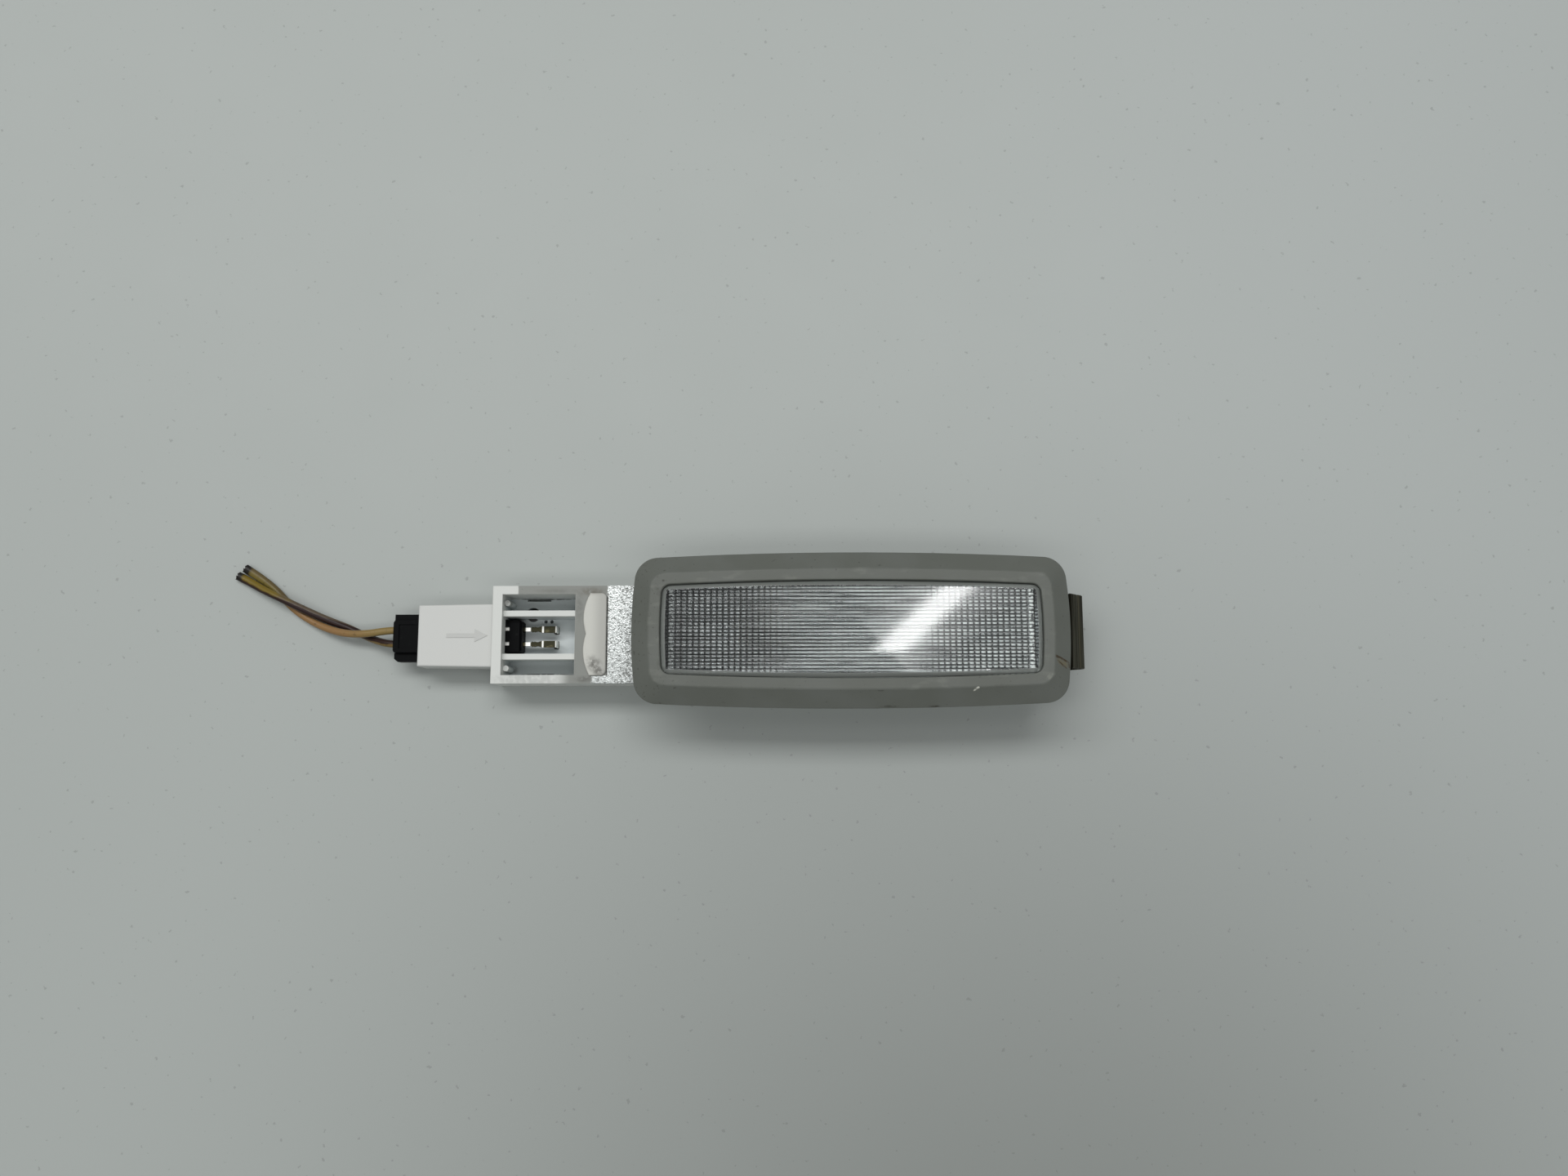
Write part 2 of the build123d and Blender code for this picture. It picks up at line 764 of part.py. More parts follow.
# Plug
with BuildPart() as plug_housing:
    add(block(plug_rear, plug_front, -plug_width / 2, plug_width / 2, plug_bottom, plug_top))
    chamfer(plug_housing.faces().sort_by(Axis.X)[-1].edges(), nose_chamfer)
    chamfer(plug_housing.faces().sort_by(Axis.X)[0].edges(), plug_rear_chamfer)
    add(
        block(plug_rear + ridge_setback, ridge_front,
              plug_width / 2 - plug_rear_chamfer, plug_width / 2 + ridge_width,
              plug_axis_height - ridge_height / 2, plug_axis_height + ridge_height / 2)
    )
    add(
        block(plug_rear + plug_rear_chamfer + grip_margin, socket_left - grip_margin,
              -plug_width / 2 + grip_margin, plug_width / 2 - grip_margin,
              plug_top - grip_recess, plug_top),
        mode=Mode.SUBTRACT,
    )
    slot_right = plug_front - sight_slot_setback
    slot_middle = slot_right - sight_slot_length / 2
    add(
        block(slot_right - sight_slot_length, slot_right, -plug_width / 2, plug_width / 2,
              plug_top - sight_slot_depth, plug_top),
        mode=Mode.SUBTRACT,
    )
    for y in (-pin_y, pin_y):
        add(
            block(slot_middle - sight_length / 2, slot_middle + sight_length / 2,
                  y - sight_width / 2, y + sight_width / 2, plug_axis_height, plug_top),
            mode=Mode.SUBTRACT,
        )
        add(
            block(plug_rear, plug_front - nose_wall, y - cavity_width / 2, y + cavity_width / 2,
                  plug_axis_height - cavity_height / 2, plug_axis_height + cavity_height / 2),
            mode=Mode.SUBTRACT,
        )
        add(
            block(plug_front - nose_wall, plug_front, y - terminal_bore / 2, y + terminal_bore / 2,
                  plug_axis_height - terminal_bore / 2, plug_axis_height + terminal_bore / 2),
            mode=Mode.SUBTRACT,
        )
finish(plug_housing, "plug_housing")

with BuildPart() as plug_lock:
    with BuildSketch(Plane.XY.offset(plug_axis_height - lock_height / 2)):
        with BuildLine():
            lock_rear = plug_rear + lock_setback
            Polyline(
                (lock_rear, -plug_width / 2),
                (ridge_front, -plug_width / 2),
                (ridge_front, -plug_width / 2 - lock_width),
                (lock_rear + lock_taper, -plug_width / 2 - lock_width),
                (lock_rear, -plug_width / 2 - lock_width + lock_lead),
                close=True,
            )
        make_face()
    extrude(amount=lock_height)
finish(plug_lock, "plug_lock")


def terminal(y):
    """Crimped terminal: a box with a bore for the pin, then a round crimp with a bore for the wire."""
    with BuildPart() as made:
        add(
            block(terminal_rear, terminal_front, y - terminal_width / 2, y + terminal_width / 2,
                  plug_axis_height - terminal_height / 2, plug_axis_height + terminal_height / 2)
        )
        add(
            block(terminal_rear + terminal_web, terminal_front,
                  y - terminal_bore / 2, y + terminal_bore / 2,
                  plug_axis_height - terminal_bore / 2, plug_axis_height + terminal_bore / 2),
            mode=Mode.SUBTRACT,
        )
        with Locations(Location(((terminal_rear + crimp_rear) / 2, y, plug_axis_height), (0, 90, 0))):
            Cylinder(crimp_radius, crimp_length)
        with Locations(Location((crimp_rear, y, plug_axis_height), (0, 90, 0))):
            Cylinder(
                wire_diameter / 2 + terminal_clearance,
                2 * crimp_overlap,
                mode=Mode.SUBTRACT,
            )
    return made


def terminal_sleeve(y):
    """Steel sleeve folded round the front of a terminal."""
    inner_width = terminal_width + 2 * terminal_clearance
    inner_height = terminal_height + 2 * terminal_clearance
    with BuildPart() as made:
        with BuildSketch(Plane.YZ.offset(terminal_front - sleeve_length)):
            with Locations((y, plug_axis_height)):
                Rectangle(inner_width + 2 * sleeve_wall, inner_height + 2 * sleeve_wall)
                Rectangle(inner_width, inner_height, mode=Mode.SUBTRACT)
        extrude(amount=sleeve_length)
    return made


for name, y in (("upper", pin_y), ("lower", -pin_y)):
    finish(terminal(y), f"terminal_{name}")
    finish(terminal_sleeve(y), f"terminal_sleeve_{name}")


def route_radii(points):
    """Largest arc that each corner's two runs leave room for."""
    vectors = [Vector(*p) for p in points]
    runs = [b - a for a, b in zip(vectors, vectors[1:])]
    radii = []
    for before, after in zip(runs, runs[1:]):
        shorter = min(before.length, after.length)
        radii.append(run_share * shorter / math.tan(math.radians(before.get_angle(after) / 2)))
    return radii


def tube(points, outer, bore):
    """Round tube along a route; a bore of zero makes it solid."""
    radii = route_radii(points)
    with BuildPart() as made:
        with BuildLine() as path:
            FilletPolyline(*points, radius=radii)
        with BuildSketch(Plane(path.line @ 0, z_dir=path.line % 0)):
            Circle(outer / 2)
            if bore:
                Circle(bore / 2, mode=Mode.SUBTRACT)
        sweep(path=path.line)
    section = math.pi * (outer**2 - bore**2) / 4
    length = path.wires()[0].length
    print("tightest", round(min(radii), 1), "length", round(length, 2),
          "volume ratio", round(made.part.volume / (section * length), 4))
    return made


for name, route in (("tan", tan_route), ("dark", dark_route)):
    finish(tube(route, wire_diameter, core_diameter + 2 * core_clearance), f"wire_{name}")
    finish(tube(route, core_diameter, 0), f"conductor_{name}")
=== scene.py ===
"""Looks of a small snap-in car dome light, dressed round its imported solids.

Sizes and places are millimetres in the part's own frame unless a name says otherwise: the origin is the
middle of the housing's flat back, +X points to the spring clip, -X to the plug and +Z out of the lens. Meshes
are written in metres.
"""

from __future__ import annotations

import logging
import math
from dataclasses import dataclass, field
from enum import Enum

import bmesh
import bpy
import numpy as np
from mathutils import Matrix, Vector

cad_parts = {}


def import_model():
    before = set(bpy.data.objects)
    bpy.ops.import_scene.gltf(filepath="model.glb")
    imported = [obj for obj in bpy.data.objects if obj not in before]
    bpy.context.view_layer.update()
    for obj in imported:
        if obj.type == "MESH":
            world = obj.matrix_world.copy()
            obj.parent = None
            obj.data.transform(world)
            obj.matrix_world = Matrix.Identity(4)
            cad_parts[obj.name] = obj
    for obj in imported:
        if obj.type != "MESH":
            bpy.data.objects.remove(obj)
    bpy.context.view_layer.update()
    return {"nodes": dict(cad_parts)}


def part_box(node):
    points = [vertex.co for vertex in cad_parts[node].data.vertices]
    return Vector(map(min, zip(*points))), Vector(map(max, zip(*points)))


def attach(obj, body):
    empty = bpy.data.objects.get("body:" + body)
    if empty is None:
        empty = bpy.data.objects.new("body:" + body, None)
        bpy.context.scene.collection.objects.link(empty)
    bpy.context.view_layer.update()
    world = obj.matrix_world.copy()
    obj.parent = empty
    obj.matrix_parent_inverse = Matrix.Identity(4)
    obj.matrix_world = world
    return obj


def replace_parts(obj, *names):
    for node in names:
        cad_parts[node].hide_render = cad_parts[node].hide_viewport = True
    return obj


MM = 0.001

Colour = tuple[float, float, float]
Point = tuple[float, float, float]
Pair = tuple[float, float]
Socket = bpy.types.NodeSocket

log = logging.getLogger("dome_light")


class Body(Enum):
    """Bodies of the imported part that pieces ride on."""

    LAMP = "lamp"
    PLUG = "plug"
    CLIP = "clip"


def seen(red: int, green: int, blue: int) -> Colour:
    """Linear colour of a surface that shows as that sRGB colour under plain light.

    Args:
        red: Red from 0 to 255.
        green: Green from 0 to 255.
        blue: Blue from 0 to 255.

    Returns:
        The three linear values.
    """
    shares = np.array([red, green, blue]) / 255
    return tuple(np.where(shares <= 0.04045, shares / 12.92, ((shares + 0.055) / 1.055) ** 2.4).tolist())


class Shader:
    """One material's node tree, with short calls for the nodes that the finishes share.

    Places come from Object coordinates, turned into millimetres.
    """

    def __init__(self, name: str) -> None:
        """Start a material that holds a Principled shader.

        Args:
            name: Name of the material.
        """
        self.material = bpy.data.materials.new(name)
        self.material.use_nodes = True
        self.tree = self.material.node_tree
        self.surface = self.tree.nodes["Principled BSDF"]
        objects = self.node("ShaderNodeTexCoord", {}, output="Object")
        self.place = self.node("ShaderNodeMapping", {"Vector": objects, "Scale": (1 / MM,) * 3})
        self.x, self.y, self.z = self.split(self.place)

    def node(self, kind: str, inputs: dict, output: int | str = 0, **options: str) -> Socket:
        """Add a node.

        Args:
            kind: Blender's name for the node.
            inputs: Values, or sockets to link, by input name or index.
            output: Which output to return.
            **options: Settings of the node itself.

        Returns:
            The chosen output socket.
        """
        made = self.tree.nodes.new(kind)
        for key, value in options.items():
            setattr(made, key, value)
        for key, value in inputs.items():
            self.feed(made.inputs[key], value)
        return made.outputs[output]

    def feed(self, socket: Socket, value: Socket | float | tuple) -> None:
        """Link a socket, or set its value.

        Args:
            socket: Input to fill.
            value: A socket to link, a number, a colour or a vector.
        """
        if isinstance(value, Socket):
            self.tree.links.new(value, socket)
        elif socket.type == "RGBA":
            socket.default_value = (*value, 1.0)
        else:
            socket.default_value = value

    def split(self, vector: Socket) -> list[Socket]:
        """The three parts of a vector."""
        return list(self.node("ShaderNodeSeparateXYZ", {"Vector": vector}).node.outputs)

    def math(self, operation: str, first: Socket | float, second: Socket | float = 0.0) -> Socket:
        """Arithmetic on one or two values."""
        return self.node("ShaderNodeMath", {0: first, 1: second}, operation=operation)

    def times(self, *values: Socket | float) -> Socket:
        """Product of several values."""
        product = values[0]
        for value in values[1:]:
            product = self.math("MULTIPLY", product, value)
        return product

    def rise(self, value: Socket, low: float, high: float) -> Socket:
        """Smooth step from 0 at low to 1 at high; it falls where low is the larger."""
        limits = {"Value": value, "From Min": low, "From Max": high}
        return self.node("ShaderNodeMapRange", limits, interpolation_type="SMOOTHSTEP")

    def scaled(self, value: Socket, low: float, high: float) -> Socket:
        """Straight map of 0..1 to low..high."""
        return self.node("ShaderNodeMapRange", {"Value": value, "To Min": low, "To Max": high})

    def between(self, value: Socket, low: float, high: float, soft: float) -> Socket:
        """1 between two levels, with soft edges."""
        entering = self.rise(value, low - soft, low + soft)
        leaving = self.rise(value, high + soft, high - soft)
        return self.times(entering, leaving)

    def wavy(self, value: Socket, noise: Socket, reach: float) -> Socket:
        """A value moved up and down by noise, by up to that reach, so that its limits come out ragged."""
        return self.math("ADD", value, self.scaled(noise, -reach, reach))

    def noise(
        self, size: float, detail: float = 3.0, stretch: Point = (1, 1, 1), seed: float = 0.0
    ) -> Socket:
        """Fractal noise from 0 to 1.

        Args:
            size: Size of its largest patches.
            detail: Number of finer octaves.
            stretch: How much longer the patches are along each axis.
            seed: Shift that gives another pattern.

        Returns:
            The noise's value socket.
        """
        scale = tuple(1 / (size * s) for s in stretch)
        moved = {"Vector": self.place, "Scale": scale, "Location": (seed, seed, seed)}
        vector = self.node("ShaderNodeMapping", moved)
        return self.node("ShaderNodeTexNoise", {"Vector": vector, "Scale": 1.0, "Detail": detail})

    def mix(self, share: Socket | float, first: Socket | Colour, second: Socket | Colour) -> Socket:
        """Colour between two others."""
        return self.node("ShaderNodeMix", {0: share, 6: first, 7: second}, output=2, data_type="RGBA")

    def spot(self, centre: Point, radii: Point, turn: float = 0.0, soft: float = 0.6) -> Socket:
        """Elliptical patch about a point.

        Args:
            centre: Middle of the patch.
            radii: Its half lengths.
            turn: Turn about Z, in degrees.
            soft: Share of the radius over which it fades.

        Returns:
            A socket that is 1 in the patch and 0 outside it.
        """
        inverse = {
            "Vector": self.place,
            "Location": centre,
            "Rotation": (0, 0, math.radians(turn)),
            "Scale": radii,
        }
        local = self.node("ShaderNodeMapping", inverse, vector_type="TEXTURE")
        distance = self.node("ShaderNodeVectorMath", {0: local}, output="Value", operation="LENGTH")
        return self.rise(distance, 1.0, 1.0 - soft)

    def beyond(self, half: Pair, bows: Pair = (89.0, 650.0)) -> Socket:
        """Distance outside a rectangle with bowed sides, negative inside it.

        Each side's distance has the fall of its arc added, which is the square of the place along it over
        twice the bow's radius.

        Args:
            half: Half length along X and half width along Y.
            bows: Radii of the ends and of the sides.

        Returns:
            The distance socket.
        """
        sides = []
        for value, other, size, bow in zip((self.x, self.y), (self.y, self.x), half, bows):
            fall = self.math("DIVIDE", self.times(other, other), 2 * bow)
            away = self.math("ADD", self.math("ABSOLUTE", value), fall)
            sides.append(self.math("SUBTRACT", away, size))
        return self.math("MAXIMUM", *sides)

    def bump(self, height: Socket, depth: float, below: Socket | None = None) -> Socket:
        """Surface normal from a height map.

        Args:
            height: Height from 0 to 1.
            depth: Height of 1 in millimetres.
            below: Normal of a bump under this one.

        Returns:
            The normal socket.
        """
        inputs = {"Height": height, "Distance": depth * MM}
        if below is not None:
            inputs["Normal"] = below
        return self.node("ShaderNodeBump", inputs, output="Normal")

    def finish(self, **sockets: Socket | float | tuple) -> bpy.types.Material:
        """Fill the Principled shader's inputs.

        Args:
            **sockets: Values, or sockets to link, by input name with underscores for spaces.

        Returns:
            The material.
        """
        for key, value in sockets.items():
            self.feed(self.surface.inputs[key.replace("_", " ")], value)
        return self.material

    def clear_to_lamps(self, tint: Colour) -> bpy.types.Material:
        """Let the lamps' light through the surface, so that what lies behind it is lit.

        Args:
            tint: Colour that the light takes on.

        Returns:
            The material.
        """
        path = self.node("ShaderNodeLightPath", {}, output="Is Shadow Ray")
        open_way = self.node("ShaderNodeBsdfTransparent", {"Color": tint})
        shown = self.node("ShaderNodeMixShader", {0: path, 1: self.surface.outputs[0], 2: open_way})
        self.feed(self.tree.nodes["Material Output"].inputs["Surface"], shown)
        return self.material


@dataclass(frozen=True)
class Mark:
    """A smudge, scuff or nick on a surface.

    Attributes:
        BREAKS: Noise levels between which its edge breaks up.
        centre: Its middle.
        radii: Its half lengths.
        colour: Its colour.
        share: How strongly it covers.
        turn: Its turn about Z, in degrees.
        soft: Share of its radius over which it fades.
    """

    BREAKS = (0.25, 0.6)

    centre: Point
    radii: Point
    colour: Colour
    share: float
    turn: float = 0.0
    soft: float = 0.6


def mark_over(shader: Shader, colour: Socket, marks: tuple[Mark, ...], ragged: Socket) -> Socket:
    """Lay marks over a colour.

    Args:
        shader: Shader to build in.
        colour: Colour below.
        marks: Marks to lay, in order.
        ragged: Noise that breaks their edges.

    Returns:
        The colour with the marks.
    """
    broken = shader.rise(ragged, *Mark.BREAKS)
    for mark in marks:
        patch = shader.spot(mark.centre, mark.radii, mark.turn, mark.soft)
        colour = shader.mix(shader.times(patch, broken, mark.share), colour, mark.colour)
    return colour


@dataclass(frozen=True)
class GreyMoulding:
    """Grained grey plastic of the bezel, with its pry mark, nick and smudges."""

    colour: Colour = seen(92, 95, 89)
    faded: Colour = seen(97, 100, 95)
    dirt: Colour = seen(52, 50, 44)
    brown: Colour = seen(62, 50, 34)
    tan: Colour = seen(104, 98, 78)
    pale: Colour = seen(196, 196, 186)
    scuffed: Colour = seen(132, 134, 127)
    rubbed: Colour = seen(126, 128, 120)
    cloud_edges: Pair = (0.35, 0.7)
    dirty_end: Pair = (-24.0, -31.0)  # more specks gather towards the plug end
    dirty_more: float = 0.05
    speck_edges: Pair = (0.69, 0.77)
    speck_share: float = 0.5
    scuff_edges: Pair = (0.56, 0.72)
    scuff_share: float = 0.22
    ring_rise: Pair = (16.75, 16.85)  # from the slope to the flat ring
    rough: Pair = (0.44, 0.6)
    grain_depth: float = 0.012
    gloss: float = 0.42

    def marks(self) -> tuple[Mark, ...]:
        """Wear that the lamp shows: a pry mark at the clip end, a nick, scuffs and dirt.

        Returns:
            The marks, in the order in which they are laid.
        """
        return (
            Mark((34.3, -5.6, 15.9), (1.8, 0.75, 3.0), self.tan, 0.95, -26, 0.7),
            Mark((34.25, -4.98, 15.8), (1.9, 0.22, 3.0), self.brown, 1.0, -24, 0.5),
            Mark((33.2, -4.62, 16.6), (0.55, 0.3, 2.0), self.brown, 1.0, -24, 0.5),
            Mark((34.2, -5.9, 15.9), (1.8, 0.18, 3.0), self.brown, 0.9, -36, 0.6),
            Mark((35.5, -6.1, 14.8), (0.22, 0.75, 2.0), self.brown, 0.85, 8, 0.6),
            Mark((19.95, -9.8, 16.7), (0.65, 0.2, 2.0), self.pale, 0.95, 38, 0.5),
            Mark((20.3, -9.6, 16.7), (0.24, 0.2, 2.0), self.pale, 1.0, 0, 0.4),
            Mark((31.8, -7.9, 17.0), (0.9, 0.45, 1.0), self.rubbed, 0.6, 40, 0.4),
            Mark((4.5, -10.05, 16.8), (0.9, 0.14, 2.0), self.dirt, 0.8, 0, 0.7),
            Mark((6.1, -12.5, 14.5), (2.3, 0.28, 1.2), self.dirt, 0.7, 0, 0.7),
            Mark((13.4, -12.5, 14.5), (1.3, 0.26, 1.2), self.dirt, 0.95, 0, 0.6),
            Mark((4.7, 10.36, 16.0), (0.5, 0.3, 2.0), self.dirt, 0.5, 0, 0.8),
            Mark((-31.4, 6.3, 17.0), (0.7, 1.6, 1.0), self.dirt, 0.35, 20, 0.9),
            Mark((-30.6, 7.9, 17.0), (0.35, 0.25, 1.0), self.dirt, 0.8, 0, 0.7),
            Mark((-31.2, -5.8, 17.0), (0.5, 1.1, 1.0), self.dirt, 0.3, 0, 0.9),
            Mark((24.0, -9.3, 17.0), (2.2, 0.5, 1.0), self.dirt, 0.16, 6, 0.9),
        )

    def material(self) -> bpy.types.Material:
        """Build the material.

        Returns:
            The material.
        """
        shader = Shader("grey_moulding")
        cloud = shader.noise(9.0, 4.0)
        grain = shader.noise(0.16, 2.0, seed=3.0)
        ragged = shader.noise(0.45, 3.0, seed=7.0)
        colour = shader.mix(shader.rise(cloud, *self.cloud_edges), self.colour, self.faded)
        dirty_end = shader.scaled(shader.rise(shader.x, *self.dirty_end), 0.0, self.dirty_more)
        pattern = shader.math("ADD", shader.noise(0.55, 2.0, seed=11.0), dirty_end)
        specks = shader.rise(pattern, *self.speck_edges)
        colour = shader.mix(shader.times(specks, self.speck_share), colour, self.dirt)
        streaks = shader.noise(1.6, 4.0, stretch=(2.5, 1, 1), seed=21.0)
        scuffs = shader.times(shader.rise(streaks, *self.scuff_edges), shader.rise(shader.z, *self.ring_rise))
        colour = shader.mix(shader.times(scuffs, self.scuff_share), colour, self.scuffed)
        colour = mark_over(shader, colour, self.marks(), ragged)
        rough = shader.scaled(cloud, *self.rough)
        normal = shader.bump(grain, self.grain_depth)
        return shader.finish(
            Base_Color=colour, Roughness=rough, Normal=normal, Specular_IOR_Level=self.gloss
        )


@dataclass(frozen=True)
class ClearPlastic:
    """Clear lens plastic, polished, with faint sink marks.

    It is painted greyer along its bevel, a painted shade for the dark bezel seen through it; on its inside,
    painted shade lies in the grooves between the flutes and painted highlights lie on their crowns and in the
    beads that end them.
    """

    tint: Colour = (0.935, 0.96, 0.955)
    index: float = 1.5
    rough: float = 0.03
    inner_rough: float = 0.18
    gloss: float = 0.5
    half: Pair = (31.05, 7.9)
    bevel: float = 0.75
    bevel_edges: Pair = (-0.02, 0.06)
    bevel_level: float = 16.0
    # painted shade: grey on the bevel, standing in for the dark bezel seen through it
    bevel_shade: Colour = seen(136, 140, 136)
    bevel_clear: float = 0.3
    fade: float = 0.1  # over which a zone ends
    cell: Pair = (0.973, 0.592)  # between the grooves that cross its inside
    cell_half: Pair = (28.7, 7.1)
    cell_fade: float = 0.2
    line_edges: tuple[Pair, ...] = ((0.3, 0.48), (0.22, 0.45))  # of the grooves, in cells
    crest_edges: Pair = (0.48, 0.08)  # of the painted highlight on a flute, in cells
    groove_rise: Pair = (16.35, 16.25)  # from the outside to the inside
    # painted shade in the grooves between the flutes, standing in for the light that they bend away
    groove_shade: Colour = (0.042, 0.044, 0.044)
    deeper_groove_shade: Colour = (0.011, 0.012, 0.012)  # deeper painted shade, towards the plug end
    deeper_groove_shade_span: Pair = (2.0, -16.0)
    groove_shade_share: Point = (0.75, 0.06, 0.5)  # of the painted shade in the cross grooves: plug end, middle, clip end
    groove_shade_zones: tuple[Pair, Pair] = ((-9.0, -21.0), (10.0, 19.0))  # from the middle to each end
    row_edges: Pair = (0.35, 0.65)
    row_share: Pair = (0.6, 1.0)  # it differs from row to row
    bead_span: Pair = (28.95, 29.7)
    bead_fade: float = 0.12
    # painted highlight in the beads that end the flutes
    bead: Colour = (0.75, 0.78, 0.77)
    bead_highlight_share: Pair = (0.3, 0.95)  # of the painted highlight in the beads, at the plug end and at the clip end
    bead_breaks: Pair = (0.32, 0.54)
    crown_highlight: Colour = (0.62, 0.65, 0.645)  # painted highlight, standing in for the light that the flutes gather
    crown_highlight_share: Pair = (0.36, 0.86)  # at the plug end and at the clip end
    crown_zone: Pair = (-20.0, 20.0)
    crown_breaks: Pair = (0.34, 0.62)
    crown_fade: float = 0.35  # of it, in the faintest rows and at the plug end
    crown_end: Pair = (-28.4, -25.6)
    crown_full: float = 0.2  # share from which its colour is full
    line_full: float = 0.3  # and that of the grooves and beads
    sink_pitch: float = 0.59
    sink_drift: float = 7.0
    sink_depth: float = 0.00012

    def grooves(self, shader: Shader) -> tuple[Socket, ...]:
        """Painted shade along the grooves between the flutes, and painted highlights on their crowns and end
        beads.

        A place's share of its cell, less a half, is 0 in the middle of a flute and a half in a groove.

        Args:
            shader: Shader to build in.

        Returns:
            Sockets that are up to 1 in the grooves, in the beads, on the crowns and all over the inside.
        """
        lines, crests = [], []
        places = (shader.x, shader.y)
        for value, pitch, half, edges in zip(places, self.cell, self.cell_half, self.line_edges):
            share = shader.math("FRACT", shader.math("DIVIDE", shader.math("ADD", value, half), pitch))
            off_middle = shader.math("ABSOLUTE", shader.math("SUBTRACT", share, 0.5))
            inside = shader.rise(shader.math("ABSOLUTE", value), half + self.cell_fade, half)
            lines.append(shader.times(shader.rise(off_middle, *edges), inside))
            crests.append(shader.rise(off_middle, *self.crest_edges))
        inner = shader.rise(shader.z, *self.groove_rise)
        from_middle = shader.math("ABSOLUTE", shader.x)

        near, middle, far = self.groove_shade_share
        to_plug = shader.scaled(shader.rise(shader.x, *self.groove_shade_zones[0]), middle, near)
        to_clip = shader.scaled(shader.rise(shader.x, *self.groove_shade_zones[1]), 0.0, far - middle)
        crossed = shader.math("ADD", to_plug, to_clip)
        across = shader.times(lines[0], crossed)
        streaks = shader.rise(shader.noise(0.8, 2.0, stretch=(16, 1, 1), seed=8.0), *self.row_edges)
        along = shader.times(lines[1], shader.scaled(streaks, *self.row_share))
        grooves = shader.times(shader.math("MAXIMUM", across, along), inner)

        # painted highlights in the end beads, stronger at the clip end
        ends = shader.between(from_middle, *self.bead_span, self.bead_fade)
        painted_highlight = shader.scaled(shader.rise(shader.x, -1.0, 1.0), *self.bead_highlight_share)
        broken = shader.rise(shader.noise(0.55, 2.0, seed=17.0), *self.bead_breaks)
        beads = shader.times(ends, painted_highlight, broken, shader.scaled(lines[1], 1.0, 0.0), inner)

        # painted highlights on the flutes' crowns
        gathered = shader.scaled(shader.rise(shader.x, *self.crown_zone), *self.crown_highlight_share)
        fades = shader.rise(shader.noise(0.6, 2.0, stretch=(14, 1, 1), seed=31.0), *self.crown_breaks)
        fades = shader.math("MINIMUM", fades, shader.rise(shader.x, *self.crown_end))
        fading = shader.scaled(fades, self.crown_fade, 1.0)
        reach = self.bead_span[0]
        within = shader.rise(from_middle, reach + self.fade, reach - self.fade)
        cells = shader.scaled(shader.times(crossed, shader.scaled(crests[0], 1.0, 0.0)), 1.0, 0.0)
        crowns = shader.times(gathered, fading, within, inner, crests[1], cells)
        return grooves, beads, crowns, inner

    def material(self) -> bpy.types.Material:
        """Build the material.

        Returns:
            The material.
        """
        shader = Shader("clear_plastic")
        bevel = shader.rise(shader.beyond(self.half), *(edge - self.bevel for edge in self.bevel_edges))
        bevel = shader.times(bevel, shader.rise(shader.z, self.bevel_level, self.bevel_level + self.fade))
        grooves, beads, crowns, inner = self.grooves(shader)
        # painted shade in the grooves, then painted highlights on the crowns and in the beads
        groove_shade = shader.mix(shader.rise(shader.x, *self.deeper_groove_shade_span), self.groove_shade, self.deeper_groove_shade)
        colour = shader.mix(shader.rise(crowns, 0.0, self.crown_full), self.tint, self.crown_highlight)
        colour = shader.mix(shader.rise(grooves, 0.0, self.line_full), colour, groove_shade)
        colour = shader.mix(shader.rise(beads, 0.0, self.line_full), colour, self.bead)
        # painted shade along the bevel
        colour = shader.mix(bevel, colour, self.bevel_shade)
        shown = shader.math("MAXIMUM", shader.math("MAXIMUM", grooves, beads), crowns)
        clear = shader.times(shader.scaled(bevel, 1.0, self.bevel_clear), shader.scaled(shown, 1.0, 0.0))
        wave = shader.math("SINE", shader.times(shader.y, 2 * math.pi / self.sink_pitch))
        cross_wave = shader.math("SINE", shader.times(shader.x, 2 * math.pi / self.sink_drift))
        shader.finish(
            Base_Color=colour,
            Roughness=shader.scaled(inner, self.rough, self.inner_rough),
            Normal=shader.bump(shader.times(wave, cross_wave), self.sink_depth),
            IOR=self.index,
            Transmission_Weight=clear,
            Specular_IOR_Level=shader.scaled(grooves, self.gloss, 0.0),
        )
        return shader.clear_to_lamps(self.tint)


@dataclass(frozen=True)
class BulbGlass:
    """Clear glass of the bulb."""

    tint: Colour = (0.96, 0.98, 0.98)
    index: float = 1.5
    rough: Pair = (0.0, 0.02)

    def material(self) -> bpy.types.Material:
        """Build the material.

        Returns:
            The material.
        """
        shader = Shader("bulb_glass")
        rough = shader.scaled(shader.noise(2.0, 2.0), *self.rough)
        shader.finish(Base_Color=self.tint, Roughness=rough, IOR=self.index, Transmission_Weight=1.0)
        return shader.clear_to_lamps(self.tint)


